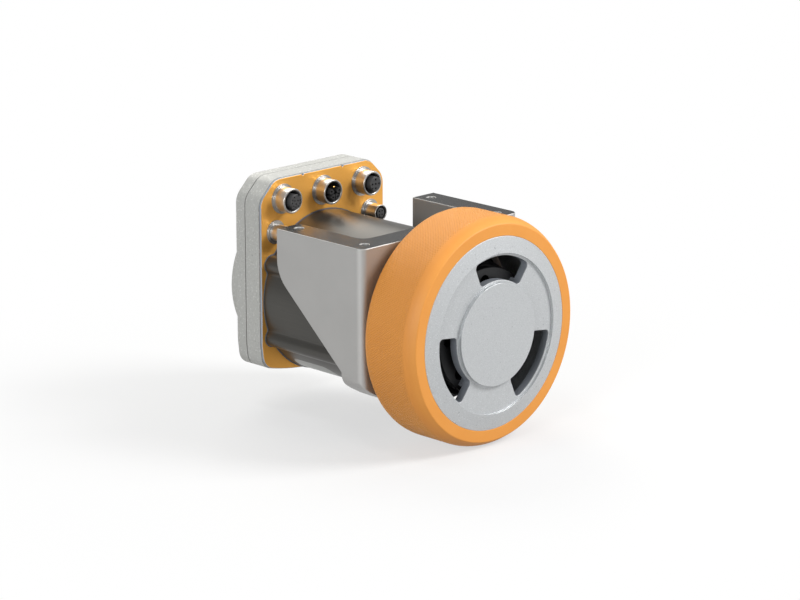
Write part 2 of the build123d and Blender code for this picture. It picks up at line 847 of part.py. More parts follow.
def box_outline(inset=0.0):
    """Front view of the housing: bevelled top, sides that lean in at the foot, a round sole."""
    w = box_half_width - inset
    top = box_top - inset
    bevel = box_bevel - inset * (2 - sqrt(2))
    lean = radians(box_side_lean)
    bend = box_side_bend + inset * tan(lean / 2)
    low = -2 * box_sole_drop
    foot = w - (bend - low) * tan(lean)
    frame = make_face(Polyline([
        (-foot, low), (foot, low), (w, bend), (w, top - bevel), (w - bevel, top),
        (bevel - w, top), (-w, top - bevel), (-w, bend)], close=True))
    sole = Pos(0, box_sole_radius - box_sole_drop) * Circle(box_sole_radius - inset)
    outline = frame & sole
    upper = [v for v in outline.vertices() if v.Y > 0]
    outline = fillet(upper, box_bevel_round - inset)
    bends = [v for v in outline.vertices() if abs(v.Y - bend) < 1e-6]
    outline = fillet(bends, box_side_round - inset)
    corners = outline.vertices().sort_by(Axis.Y)[:2]
    return fillet(corners, box_sole_corner - inset)


def cover_screw_places():
    side = box_half_width - cover_screw_inset
    return both_sides([(side, cover_screw_low - box_sole_drop), (side, box_top - cover_screw_high),
                       (cover_screw_middle, box_top - cover_screw_inset)])


def socket_places():
    """Name, x, z and True for the large size."""
    a = radians(small_socket_angle)
    small_x = small_socket_circle * cos(a)
    small_z = small_socket_circle * sin(a)
    return (("signal", -large_socket_pitch, large_socket_z, True),
            ("power", 0.0, large_socket_z, True),
            ("bus", large_socket_pitch, large_socket_z, True),
            ("service", -small_x, small_z, False),
            ("sensor", small_x, small_z, False))


def front_shell():
    """Cast front shell: a wall that carries motor and sockets, and a rim round the board."""
    outer = prism(box_outline(), shell_front, seam_front)
    body = outer - prism(box_outline(box_wall), wall_inner, seam_front)
    for place in cover_screw_places():
        body += rod(boss_radius, wall_inner, seam_front, place) & outer
        body -= rod(cover_screw_radius, wall_inner, seam_front, place)
    body -= rod(cable_hole, shell_front, wall_inner)
    for place in lobe_places():
        body -= rod(tie_rod_radius + tie_rod_clearance, shell_front, wall_inner, place)
    for _, x, z, large in socket_places():
        body -= rod(socket_neck(large) + slip, shell_front, wall_inner, (x, z))
    return body


def rear_cover():
    """Cast rear shell with a raised round dome."""
    dome_place = (0, dome_centre)
    outer = prism(box_outline(), seam_rear, box_rear)
    outer = fillet(edges_at(outer, box_rear), rear_edge)
    dome = rod(dome_radius, box_rear - box_wall / 2, dome_rear, dome_place)
    outer += fillet(edges_at(dome, dome_rear), dome_edge)
    body = outer - prism(box_outline(box_wall), seam_rear, box_rear - box_wall)
    body -= rod(dome_radius - box_wall, box_rear - box_wall, dome_rear - box_wall, dome_place)
    for place in cover_screw_places():
        body += rod(cover_boss_radius, seam_rear, box_rear - box_wall, place) & outer
        body -= rod(cover_screw_hole, seam_rear, cover_seat, place)
        body -= rod(cover_head_radius + cover_head_gap, cover_seat, box_rear, place)
    return body


def cover_screws():
    """Six socket head screws from the rear, sunk in the cover."""
    length = cover_seat - seam_front + cover_screw_bite
    return head_screws(cover_screw_places(), cover_screw_radius, cover_seat, length,
                       cover_head_radius, cover_head_height, side=1, hex_radius=cover_hex)


def housing_gasket():
    """Flat gasket in the seam, set back from the outside."""
    return prism(box_outline(gasket_inset) - box_outline(box_wall), seam_front, seam_rear)


def connector_panel():
    """Coloured front panel, cut out for the motor and the sockets."""
    sheet = box_outline(panel_inset) - motor_outline(collar_width)
    for _, x, z, large in socket_places():
        sheet -= Pos(x, z) * Circle(socket_neck(large) + slip)
    for x, z in both_sides([(panel_notch_x, box_top - panel_inset)]):
        sheet -= Pos(x, z) * Circle(panel_notch)
    return prism(sheet, panel_front, shell_front)


def motor_collar():
    """Rubber collar between the motor and the panel."""
    return prism(motor_outline(collar_width) - motor_outline(), panel_front - collar_stand, shell_front)


# Controller board

def controller_board():
    """Board in the box's outline, cut out round the screw bosses."""
    plan = box_outline(box_wall + board_margin)
    for place in cover_screw_places():
        plan -= Pos(*place) * Circle(boss_radius + board_margin)
    return prism(plan, board_front, board_rear)


def board_standoffs():
    return [rod(standoff_radius, wall_inner, board_front, place) for place in both_sides(standoff_places)]


def board_capacitors():
    return [rod(capacitor_radius, board_rear, board_rear + capacitor_length, place)
            for place in capacitor_places]


def board_chips():
    """Power stage chips on the rear side and the shaft sensor on the front side."""
    chip = Rectangle(chip_size, chip_size)
    chips = [prism(Pos(*place) * chip, board_rear, board_rear + chip_height) for place in chip_places]
    sensor = prism(Rectangle(sensor_size, sensor_size), board_front - sensor_height, board_front)
    return chips + [sensor]


# Sockets

def socket_size(large):
    """Flange radius, barrel radius and reach in front of the panel."""
    if large:
        return large_flange_radius, large_barrel_radius, large_reach
    return small_flange_radius, small_barrel_radius, small_reach


def socket_neck(large):
    """Radius of the threaded neck that goes through the panel."""
    return socket_size(large)[1] - neck_step


def socket_shell(x, z, large):
    """Metal shell: flange on the panel, barrel in front, neck through the wall."""
    flange, barrel, reach = socket_size(large)
    neck = socket_neck(large)
    bore = barrel - socket_wall
    front = panel_front - reach
    seat = panel_front - socket_flange
    neck_end = wall_inner + socket_nut_height + neck_past_nut
    return Pos(x, 0, z) * turned([
        (bore, front + socket_edge), (bore + socket_edge, front), (barrel - socket_edge, front),
        (barrel, front + socket_edge), (barrel, seat), (flange - socket_edge, seat),
        (flange, seat + socket_edge), (flange, panel_front), (neck, panel_front), (neck, neck_end),
        (neck - socket_wall, neck_end), (neck - socket_wall, panel_front), (bore, panel_front)])


def socket_nut(x, z, large):
    flats = large_nut_flats if large else small_nut_flats
    hexagon = RegularPolygon(flats / 2, 6, major_radius=False) - Circle(socket_neck(large))
    return prism(Pos(x, z) * hexagon, wall_inner, wall_inner + socket_nut_height)


def island_radius(large):
    return (socket_size(large)[1] - socket_wall) * insert_island


def socket_insert(name, x, z, large):
    """Black insulator: a base that fills the bore and an island with the contact holes."""
    _, barrel, reach = socket_size(large)
    bore = barrel - socket_wall
    neck = socket_neck(large) - socket_wall
    face = panel_front - reach + insert_recess
    island = island_radius(large)
    base = panel_front - socket_flange
    body = turned([(0, face), (island, face), (island, base), (bore, base), (bore, panel_front),
                   (neck, panel_front), (neck, board_front), (0, board_front)])
    for count, share, start in contact_rings[name]:
        for place in on_circle(count, island * share, start):
            body -= rod(contact_radius[name], face, face + contact_depth, place)
    return Pos(x, 0, z) * body


def power_pin():
    """Leading earth pin of the power socket, on the insert's face."""
    face = panel_front - large_reach + insert_recess
    place = (0, large_socket_z + island_radius(True) * earth_pin_share)
    return rod(earth_pin_radius, face - earth_pin_height, face, place)


# Assembly

def save_wheel():
    save("tyre_tread", tyre())
    save("wheel_rim", wheel_rim())
    save("hub_cover", hub_cover())
    save("wheel_screws", *head_screws(wheel_screw_places(), wheel_screw_radius, pocket_floor,
                                      wheel_screw_grip, wheel_head_radius, wheel_head_height))


def save_gearbox():
    save("output_flange", output_flange())
    save("carrier_plate", carrier_plate())
    save("planet_pins", *planet_pins())
    for i in range(planet_count):
        save(f"planet_gear_{i + 1}", planet_gear(i))
        save(f"planet_bush_{i + 1}", planet_bush(i))
    save("ring_gear", ring_gear())
    save("shaft_seal", shaft_seal())
    save("output_bearing_outer", bearing_ring(True))
    save("output_bearing_inner", bearing_ring(False))
    save("output_bearing_rollers", *output_rollers())
    save("gearbox_housing", gearbox_housing())
    save("gearbox_screws", *head_screws(gearbox_screw_places(), gearbox_screw_radius, ear_front,
                                        flange_ear_thickness + gearbox_screw_bite,
                                        gearbox_head_radius, gearbox_head_height))


def save_motor():
    save("mounting_bracket", bracket())
    save("motor_body", motor_body())
    save("underside_plate", underside_plate())
    save("motor_front_shield", motor_front_shield())
    save("motor_rear_shield", motor_rear_shield())
    for name, start in (("front", front_bearing), ("rear", rear_bearing)):
        save(f"{name}_bearing_outer", bearing_outer_ring(start))
        save(f"{name}_bearing_inner", bearing_inner_ring(start))
        save(f"{name}_bearing_rollers", *bearing_rollers(start))
    save("stator_core", stator_core())
    save("stator_coils", *stator_coils())
    save("motor_shaft", motor_shaft())
    save("rotor_core", rotor_core())
    save("rotor_magnets", *rotor_magnets())
    save("encoder_magnet", encoder_magnet())
    save("tie_rods", *tie_rods())


def save_housing():
    save("front_shell", front_shell())
    save("rear_cover", rear_cover())
    save("housing_gasket", housing_gasket())
    save("cover_screws", *cover_screws())
    save("connector_panel", connector_panel())
    save("motor_collar", motor_collar())
    save("controller_board", controller_board())
    save("board_standoffs", *board_standoffs())
    save("board_capacitors", *board_capacitors())
    save("board_chips", *board_chips())
    for name, x, z, large in socket_places():
        save(f"{name}_socket_shell", socket_shell(x, z, large))
        save(f"{name}_socket_insert", socket_insert(name, x, z, large))
    save("socket_nuts", *[socket_nut(x, z, large) for _, x, z, large in socket_places()])
    save("power_pin", power_pin())


os.makedirs("parts", exist_ok=True)
save_wheel()
save_gearbox()
save_motor()
save_housing()
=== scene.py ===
import math

import bmesh
import bpy
from mathutils import Matrix, Vector


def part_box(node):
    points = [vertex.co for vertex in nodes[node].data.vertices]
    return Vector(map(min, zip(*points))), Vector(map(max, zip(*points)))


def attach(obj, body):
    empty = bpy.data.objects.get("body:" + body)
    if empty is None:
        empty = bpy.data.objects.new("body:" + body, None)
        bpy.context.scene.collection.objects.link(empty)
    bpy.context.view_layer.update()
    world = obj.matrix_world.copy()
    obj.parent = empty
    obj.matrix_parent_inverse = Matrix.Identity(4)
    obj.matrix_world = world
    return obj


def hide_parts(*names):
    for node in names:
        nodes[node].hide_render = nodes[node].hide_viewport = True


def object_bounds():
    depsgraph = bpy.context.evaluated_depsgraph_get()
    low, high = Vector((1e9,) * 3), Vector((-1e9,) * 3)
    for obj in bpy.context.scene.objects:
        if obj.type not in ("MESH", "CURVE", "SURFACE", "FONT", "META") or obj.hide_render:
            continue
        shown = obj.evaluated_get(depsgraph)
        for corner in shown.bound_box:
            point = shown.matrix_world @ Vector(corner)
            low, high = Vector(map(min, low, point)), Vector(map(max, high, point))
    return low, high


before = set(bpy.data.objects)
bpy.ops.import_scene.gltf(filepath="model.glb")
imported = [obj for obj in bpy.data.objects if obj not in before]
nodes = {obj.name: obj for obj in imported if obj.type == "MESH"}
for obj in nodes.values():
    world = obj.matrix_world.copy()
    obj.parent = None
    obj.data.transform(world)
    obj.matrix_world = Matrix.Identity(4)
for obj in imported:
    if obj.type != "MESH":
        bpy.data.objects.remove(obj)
cad_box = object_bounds()
mm = 0.001


# Studio: the unit stands on a pale floor that fades into a white background. Floor and background
# are white to the camera and in reflections, and dim as a light. The camera looks from the front
# left, a little from above, through a long lens, and soft lamps stand above and beside the unit.

class Value:
    """A socket of a node tree. Arithmetic on it adds Math nodes."""

    def __init__(self, tree, socket):
        self.tree = tree
        self.socket = socket

    def math(self, operation, *terms):
        return self.tree.add("ShaderNodeMath", {"operation": operation}, dict(enumerate(terms)))

    def __add__(self, other):
        return self.math("ADD", self, other)

    def __sub__(self, other):
        return self.math("SUBTRACT", self, other)

    def __rsub__(self, other):
        return self.math("SUBTRACT", other, self)

    def __mul__(self, other):
        return self.math("MULTIPLY", self, other)

    def __pow__(self, other):
        return self.math("POWER", self, other)

    def __gt__(self, other):
        return self.math("GREATER_THAN", self, other)

    def __lt__(self, other):
        return self.math("LESS_THAN", self, other)

    __radd__ = __add__
    __rmul__ = __mul__

    def sine(self):
        return self.math("SINE", self)

    def ramp(self, low, high):
        """0 below low, 1 above high, and smooth between them."""
        inputs = {"Value": self, "From Min": low, "From Max": high}
        return self.tree.add("ShaderNodeMapRange", {"interpolation_type": "SMOOTHSTEP"}, inputs)


class Tree:
    """The nodes of a material or of the world."""

    def __init__(self, owner):
        owner.use_nodes = True
        self.nodes = owner.node_tree.nodes
        self.links = owner.node_tree.links

    def add(self, kind, settings=None, inputs=None, output=0):
        """Any node: first its settings, then the values or links of its sockets."""
        node = self.nodes.new(kind)
        for name, value in (settings or {}).items():
            setattr(node, name, value)
        self.feed(node, inputs or {})
        return Value(self, node.outputs[output])

    def feed(self, node, inputs):
        for name, value in inputs.items():
            if isinstance(value, Value):
                self.links.new(value.socket, node.inputs[name])
            else:
                node.inputs[name].default_value = value

    def mix(self, share, first, second):
        """Colour between two colours."""
        return self.add("ShaderNodeMix", {"data_type": "RGBA"}, {0: share, 6: first, 7: second}, 2)


def screen(red, green, blue):
    """Linear colour of a surface that shows these 8-bit screen values under plain light."""
    def linear(level):
        share = level / 255
        return share / 12.92 if share <= 0.04045 else ((share + 0.055) / 1.055) ** 2.4
    return (linear(red), linear(green), linear(blue), 1.0)


def grey(level):
    """Neutral colour of a linear level."""
    return (level, level, level, 1.0)


def ray(tree, kind):
    """1 for the rays of one kind, such as Is Camera Ray."""
    return tree.add("ShaderNodeLightPath", output=kind)


lens = 148.4
eye = Vector((-1.2143, -1.2257, 0.4248))
aim = Vector((-0.0706, -0.0722, -0.01705))
camera = bpy.data.objects.new("camera", bpy.data.cameras.new("camera"))
camera.data.lens = lens
camera.location = eye
camera.rotation_euler = (aim - eye).to_track_quat("-Z", "Y").to_euler()
bpy.context.scene.collection.objects.link(camera)
bpy.context.scene.camera = camera
bpy.context.scene.view_settings.view_transform = "Standard"

ambient = 0.27                    # strength of the white world as a light
mirrored = 0.45                   # and in reflections
world = bpy.data.worlds.new("white_studio")
bpy.context.scene.world = world
sky = Tree(world)
directly = (1 - ambient) * ray(sky, "Is Camera Ray")
in_mirrors = (mirrored - ambient) * ray(sky, "Is Glossy Ray")
sky.feed(sky.nodes["Background"], {"Color": grey(1.0), "Strength": ambient + directly + in_mirrors})


def lamp(name, place, size, level, tint=(1.0, 1.0, 1.0)):
    """Square soft lamp aimed at the unit.

    level is how bright it shows a white face that is turned to it.
    """
    data = bpy.data.lights.new(name, "AREA")
    data.size = size
    data.color = tint
    # A white face at distance d from a lamp of power P shows P / (pi d)^2.
    data.energy = level * math.pi ** 2 * (Vector(place) - aim).length_squared
    thing = bpy.data.objects.new(name, data)
    thing.location = place
    thing.rotation_euler = (aim - Vector(place)).to_track_quat("-Z", "Y").to_euler()
    bpy.context.scene.collection.objects.link(thing)


lamp("key_lamp", place=(0.94, -1.08, 1.04), size=0.7, level=0.96)
lamp("overhead_lamp", place=(-0.45, 0.2, 1.3), size=0.35, level=0.14, tint=(0.95, 0.98, 1.0))
lamp("rear_lamp", place=(0.42, 0.92, 0.96), size=0.9, level=0.44, tint=(1.0, 0.98, 0.93))
lamp("side_lamp", place=(-1.5, -0.5, 0.45), size=0.6, level=0.52, tint=(0.97, 0.99, 1.0))

floor_radius = 6.0
floor_tone = 0.76
floor_bounce = 0.3
shadow_core = 0.14
shadow_radius = 0.35
shadow_share = 0.4
disc = bmesh.new()
bmesh.ops.create_circle(disc, cap_ends=True, radius=floor_radius, segments=64)
bmesh.ops.translate(disc, verts=disc.verts[:], vec=(0, 0, cad_box[0][2]))
floor_mesh = bpy.data.meshes.new("floor")
disc.to_mesh(floor_mesh)
disc.free()
floor = bpy.data.objects.new("floor", floor_mesh)
bpy.context.scene.collection.objects.link(floor)
pale_floor = bpy.data.materials.new("pale_floor")
paint = Tree(pale_floor)
spot = paint.add("ShaderNodeTexCoord", output="Object")
spread = paint.add("ShaderNodeVectorMath", {"operation": "LENGTH"}, {0: spot}, "Value")
seen = ray(paint, "Is Camera Ray") + ray(paint, "Is Glossy Ray")
shown = paint.add("ShaderNodeEmission", inputs={"Color": grey(1.0), "Strength": 1.0})
tone = paint.mix(seen, grey(floor_bounce), grey(floor_tone))
lit = paint.add("ShaderNodeBsdfDiffuse", inputs={"Color": tone})
fade = spread.ramp(shadow_core, shadow_radius) * shadow_share + (1 - shadow_share)
ground = paint.add("ShaderNodeMixShader", inputs={0: fade * seen, 1: lit, 2: shown})
paint.feed(paint.nodes["Material Output"], {"Surface": ground})
floor_mesh.materials.append(pale_floor)


# Tyre: cast polyurethane, bonded to the rim. The tread carries a fine moulded knurl, and the
# shoulders and the front face are smooth.

class Finish(Tree):
    """A procedural material on the object's own coordinates."""

    def __init__(self, name):
        self.material = bpy.data.materials.new(name)
        super().__init__(self.material)
        self.place = self.add("ShaderNodeTexCoord", output="Object")

    def shade(self, **sockets):
        """Sets or links the shader's sockets, named in lower case with underscores."""
        names = {name.replace("_", " ").title().replace("Ior", "IOR"): value
                 for name, value in sockets.items()}
        self.feed(self.nodes["Principled BSDF"], names)

    def noise(self, grain, detail=2.0, place=None):
        """Even noise from 0 to 1, about 0.5, whose grains are that many metres across."""
        inputs = {"Vector": place or self.place, "Scale": 1 / grain, "Detail": detail}
        return self.add("ShaderNodeTexNoise", inputs=inputs)

    def about(self, centre, stretch=(1, 1, 1)):
        """The object's coordinates, centred on a point and stretched along each axis."""
        offset = tuple(-c * s for c, s in zip(centre, stretch))
        return self.add("ShaderNodeMapping", inputs={"Vector": self.place, "Location": offset,
                                                     "Scale": stretch})

    def axes(self, place):
        """The x, y and z of a place."""
        return [self.add("ShaderNodeSeparateXYZ", inputs={"Vector": place}, output=letter)
                for letter in "XYZ"]

    def bump(self, height, depth):
        """Normals of a relief whose height of 1 is that many metres deep."""
        self.shade(normal=self.add("ShaderNodeBump", inputs={"Height": height, "Distance": depth}))


same_point = 1e-7                 # metres between two points that count as one


def outline(corners, steps=6):
    """Flat face in the X, Z plane through (x, z, corner radius) points."""
    flat = bmesh.new()
    points = [flat.verts.new((x, 0, z)) for x, z, _ in corners]
    flat.faces.new(points)
    for point, (_, _, radius) in zip(points, corners):
        if radius:
            first, second = [edge.other_vert(point).co - point.co for edge in point.link_edges]
            turn = math.pi - first.angle(second)
            bmesh.ops.bevel(flat, geom=[point], offset=radius * math.tan(turn / 2), segments=steps,
                            offset_type="OFFSET", profile=0.5, affect="VERTICES", material=-1)
    return flat


def turned(corners, segments=180):
    """Solid turned about the wheel axis from a section of (radius, y, corner radius) points."""
    body = outline(corners)
    bmesh.ops.delete(body, geom=body.faces[:], context="FACES_ONLY")
    on_axis = [edge for edge in body.edges if max(abs(v.co.x) for v in edge.verts) < same_point]
    bmesh.ops.delete(body, geom=on_axis, context="EDGES")
    bmesh.ops.spin(body, geom=body.verts[:] + body.edges[:], cent=(0, 0, 0), axis=(0, 0, 1),
                   dvec=(0, 0, 0), angle=2 * math.pi, steps=segments, use_merge=True)
    bmesh.ops.rotate(body, verts=body.verts[:], cent=(0, 0, 0),
                     matrix=Matrix.Rotation(-math.pi / 2, 3, "X"))
    bmesh.ops.remove_doubles(body, verts=body.verts[:], dist=same_point)
    bmesh.ops.recalc_face_normals(body, faces=body.faces[:])
    return body


def piece(name, body, shape, finish, slot, *stands_for, smooth=35):
    """Finished piece, set on the wheel axis, that rides on a body and stands for CAD nodes."""
    bmesh.ops.translate(shape, verts=shape.verts[:], vec=axis)
    mesh = bpy.data.meshes.new(name)
    shape.to_mesh(mesh)
    shape.free()
    # A copy of a CAD node brings normals of its own.
    if "custom_normal" in mesh.attributes:
        mesh.attributes.remove(mesh.attributes["custom_normal"])
    mesh.shade_smooth()
    mesh.set_sharp_from_angle(angle=math.radians(smooth))
    mesh.materials.append(finish)
    thing = bpy.data.objects.new(name, mesh)
    bpy.context.scene.collection.objects.link(thing)
    even = thing.modifiers.new("even_light", "WEIGHTED_NORMAL")
    even.keep_sharp = True
    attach(thing, body)
    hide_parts(*stands_for)
    return thing


tyre_low, tyre_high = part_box("tyre_tread")
axis = Vector((0, tyre_low.y, (tyre_low.z + tyre_high.z) / 2))


def span(node):
    """A CAD node's lowest and highest corners, from the wheel's axis and front."""
    low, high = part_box(node)
    return low - axis, high - axis


tyre_radius = (tyre_high.z - tyre_low.z) / 2
tyre_width = tyre_high.y - tyre_low.y
tyre_wall = 10 * mm
tyre_shoulder = 7 * mm
face_bevel = 3.5 * mm
bevel_length = 5.5 * mm
face_edge = 1 * mm
bevel_round = 11 * mm
bead_edge = 0.3 * mm
rim_radius = tyre_radius - tyre_wall
knurls = 280
knurl_row = 1.5 * mm
knurl_slant = 0.25
knurl_depth = 0.12 * mm
shoulder_band = 3 * mm


def polyurethane():
    """Orange, faintly clouded, with the knurl where the radius is that of the tread, and painted
    shade on the tread and the shoulders.
    """
    finish = Finish("tyre_polyurethane")
    x, y, z = finish.axes(finish.about(axis))
    turn = z.math("ARCTAN2", z, x)
    radius = (x * x + z * z) ** 0.5
    tread = radius.ramp(tyre_radius - 0.5 * mm, tyre_radius - 0.2 * mm)
    # Painted shade mask: the shoulder band, just inside the tread's radius.
    shoulder_shade = radius.ramp(tyre_radius - shoulder_band, tyre_radius - 0.6 * mm) - tread
    row = y * (2 * math.pi / knurl_row)
    column = turn * knurls + row * knurl_slant
    knurl = column.sine() * row.sine() * tread
    cloud = finish.noise(25 * mm, 3.0)
    grain = finish.noise(0.35 * mm)
    body = finish.mix(cloud, screen(232, 151, 62), screen(245, 167, 79))
    # Painted shade: the shoulder band is darker orange.
    body = finish.mix(shoulder_shade * 0.2, body, screen(196, 112, 40))
    # Painted shade: the whole tread is darker orange, varied with the knurl's pattern.
    shaded_tread = finish.mix((knurl * 0.3 + 0.5) * tread * 0.5, body, screen(184, 108, 34))
    finish.shade(base_color=shaded_tread, roughness=0.46 + 0.1 * cloud + 0.06 * grain,
                 specular_ior_level=0.45, sheen_weight=0.3, sheen_tint=screen(255, 192, 96),
                 sheen_roughness=0.35)
    finish.bump(knurl + 0.3 * grain, knurl_depth)
    return finish.material


tyre = turned([
    (rim_radius, 0, bead_edge), (tyre_radius - face_bevel, 0, face_edge),
    (tyre_radius, bevel_length, bevel_round), (tyre_radius, tyre_width, tyre_shoulder),
    (rim_radius, tyre_width, 0)], segments=240)
piece("tyre", "wheel", tyre, polyurethane(), "tyre_polyurethane", "tyre_tread")


# Wheel rim: cast aluminium, machined on the front, then blasted and lacquered. A conical ring joins
# the tyre, three windows open the recessed web, and pads behind the spokes carry the output flange.

def put_in(whole, part):
    """Adds one shape to another and frees it."""
    mesh = bpy.data.meshes.new("part")
    part.to_mesh(mesh)
    part.free()
    whole.from_mesh(mesh)
    bpy.data.meshes.remove(mesh)


def stacked(draw, levels):
    """Solid through one outline, drawn at several (grow, y) levels from front to rear."""
    body = bmesh.new()
    for grow, y in levels:
        flat = draw(grow)
        bmesh.ops.translate(flat, verts=flat.verts[:], vec=(0, y, 0))
        put_in(body, flat)
    rings = [list(face.edges) for face in body.faces]
    bmesh.ops.delete(body, geom=body.faces[:], context="FACES_ONLY")
    for first, second in zip(rings, rings[1:]):
        bmesh.ops.bridge_loops(body, edges=first + second)
    bmesh.ops.holes_fill(body, edges=rings[0] + rings[-1], sides=0)
    bmesh.ops.recalc_face_normals(body, faces=body.faces[:])
    return body


def mouth(radius, y, side):
    """Levels of a cutter that rounds an edge at y: side is 1 where it enters, -1 where it exits."""
    turns = [math.radians(a) for a in (30, 60, 90)]
    levels = [(radius * (1 - math.sin(a)), y + side * radius * (1 - math.cos(a))) for a in turns]
    grow, start = levels[0]
    flare = 2.0
    levels.insert(0, (radius + flare * (radius - grow), y + flare * (y - start)))
    return levels[::side]


def cut(body, tools, operation="DIFFERENCE"):
    """The body less the tools, or what it shares with them."""
    solids = []
    for shape in (body, tools):
        mesh = bpy.data.meshes.new("stock")
        shape.to_mesh(mesh)
        shape.free()
        solids.append(bpy.data.objects.new("stock", mesh))
        bpy.context.scene.collection.objects.link(solids[-1])
    stock, tool = solids
    cutter = stock.modifiers.new("cutter", "BOOLEAN")
    cutter.operation = operation
    cutter.object = tool
    graph = bpy.context.evaluated_depsgraph_get()
    result = bmesh.new()
    result.from_mesh(stock.evaluated_get(graph).to_mesh())
    for solid in solids:
        mesh = solid.data
        bpy.data.objects.remove(solid)
        bpy.data.meshes.remove(mesh)
    return result


def rods(radius, start, end, places=((0, 0),), segments=32):
    """Round cutters along the wheel axis at (x, z) places."""
    tools = bmesh.new()
    for x, z in places:
        rod = turned([(0, start, 0), (radius, start, 0), (radius, end, 0), (0, end, 0)], segments)
        put_in(tools, moved(rod, (x, 0, z)))
    return tools


def moved(shape, step):
    """Shape moved by a step."""
    bmesh.ops.translate(shape, verts=shape.verts[:], vec=step)
    return shape


def swung(shape, angle, about="Y"):
    """Shape turned by degrees; about the wheel axis, from +X towards +Z."""
    turn = Matrix.Rotation(math.radians(-angle if about == "Y" else angle), 3, about)
    bmesh.ops.rotate(shape, verts=shape.verts[:], cent=(0, 0, 0), matrix=turn)
    return shape


def on_circle(count, radius, start):
    """Evenly spaced (x, z) places about the wheel axis."""
    turns = [math.radians(start + 360 * i / count) for i in range(count)]
    return [(radius * math.cos(turn), radius * math.sin(turn)) for turn in turns]


def arc(radius, start, end, steps, centre=(0, 0)):
    """Points of an arc, between two angles in degrees."""
    turns = [math.radians(start + (end - start) * i / steps) for i in range(steps + 1)]
    return [(centre[0] + radius * math.cos(turn), centre[1] + radius * math.sin(turn), 0)
            for turn in turns]


lip_front = span("wheel_rim")[0].y
flange_front = span("output_flange")[0].y
cover_low, cover_high = span("hub_cover")
past = 1 * mm                     # how far a cutter runs past the face that it opens
rim_edge = 0.4 * mm
lip_inner = rim_radius - 9 * mm
lip_rise = 0.4 * mm               # of the ring's inner edge over its outer edge
lip_edge = 0.15 * mm
web_front = lip_front + 1 * mm
web_rear = web_front + 5.2 * mm
web_corner = 0.12 * mm
hub_rear = lip_front + 12.35 * mm
hub_edge = 0.2 * mm
barrel_root = 6 * mm              # the barrel's wall at the web, and at its rear end
barrel_end = 3 * mm
barrel_fillet = 1.5 * mm
pocket_radius = 21 * mm           # the hub's pocket, under the cover
pocket_floor = web_front + 4.8 * mm
register_radius = 22 * mm         # centres the hub on the output flange
seat_radius = 23.6 * mm           # the pads that carry the flange, from this radius
pad_radius = 32.5 * mm            # to this one
cover_radius = cover_high.x
window_count = 3
window_inner = cover_radius + 1 * mm
window_outer = lip_inner - 1.3 * mm
window_span = 58.8                # degrees
window_turn = 82.5                # degrees, of the first window
window_corner = 2.5 * mm
window_edge = 0.3 * mm
wheel_screw_count = 6
wheel_screw_circle = 16 * mm
wheel_screw_radius = 2.5 * mm


def sector(inner, outer, corner=0.0, grow=0.0):
    """Outline of a ring sector as wide as a window, about +X, grown on all sides."""
    inner, outer = inner - grow, outer + grow
    inner_steps, outer_steps = 10, 14
    half_inner = window_span / 2 + math.degrees(grow / inner)
    half_outer = window_span / 2 + math.degrees(grow / outer)
    points = arc(outer, -half_outer, half_outer, outer_steps)
    points += arc(inner, half_inner, -half_inner, inner_steps)
    corners = (0, outer_steps, outer_steps + 1, len(points) - 1)
    return outline([(x, z, corner + grow if corner and i in corners else 0)
                    for i, (x, z, _) in enumerate(points)])


def window(grow):
    return sector(window_inner, window_outer, window_corner, grow)


def between_pads(grow):
    return sector(seat_radius, pad_radius + past)


def on_wall(radius, wall):
    """1 on the turned wall of that radius."""
    near = 0.12 * mm
    return (radius > wall - near) * (radius < wall + near)


def lacquered_casting():
    """Pale silver with a fine sparkle, a few dark pinholes of the casting, and painted shade in the
    windows.
    """
    finish = Finish("rim_casting")
    grain = finish.noise(0.7 * mm, 4.0)
    glint = finish.noise(0.45 * mm, 1.0).ramp(0.62, 0.72)
    pit = finish.noise(1.1 * mm, 1.0).ramp(0.71, 0.76)
    body = finish.mix(grain, screen(178, 181, 183), screen(205, 207, 208))
    body = finish.mix(glint * 0.55, body, screen(236, 240, 244))
    body = finish.mix(pit * 0.6, body, screen(120, 124, 128))
    x, y, z = finish.axes(finish.about(axis))
    radius = (x * x + z * z) ** 0.5
    # Painted shade: the window walls and all behind the web's front, inside the ring, are darker
    # and bluer.
    inside = y.ramp(web_front + 0.3 * mm, web_front + 0.9 * mm) * (radius < lip_inner)
    wall = on_wall(radius, lip_inner) + on_wall(radius, cover_radius)
    body = finish.mix(inside * 0.85, body, screen(134, 139, 148))
    finish.shade(base_color=body, metallic=0.45, roughness=0.52 - 0.2 * glint - 0.26 * wall)
    finish.bump(grain + 0.6 * glint - pit, 0.03 * mm)
    return finish.material


rim_casting = lacquered_casting()
rim = turned([
    (0, pocket_floor, 0), (pocket_radius, pocket_floor, 0), (pocket_radius, web_front, hub_edge),
    (lip_inner, web_front, web_corner), (lip_inner, lip_front - lip_rise, lip_edge),
    (rim_radius, 0, rim_edge), (rim_radius, tyre_width, rim_edge),
    (rim_radius - barrel_end, tyre_width, rim_edge),
    (rim_radius - barrel_root, web_rear, barrel_fillet), (pad_radius, web_rear, 0),
    (pad_radius, flange_front, hub_edge), (register_radius, flange_front, 0),
    (register_radius, hub_rear, rim_edge), (0, hub_rear, 0)])
for i in range(window_count):
    turn = window_turn + 360 * i / window_count
    relief = stacked(between_pads, [(0, web_rear), (0, flange_front + past)])
    rim = cut(rim, swung(relief, turn))
    hole = stacked(window, mouth(window_edge, web_front, 1) + mouth(window_edge, web_rear, -1))
    rim = cut(rim, swung(hole, turn))
wheel_screws = on_circle(wheel_screw_count, wheel_screw_circle, window_turn)
rim = cut(rim, rods(wheel_screw_radius, pocket_floor - past, hub_rear + past, wheel_screws))
piece("rim", "wheel", rim, rim_casting, "rim_aluminium", "wheel_rim")


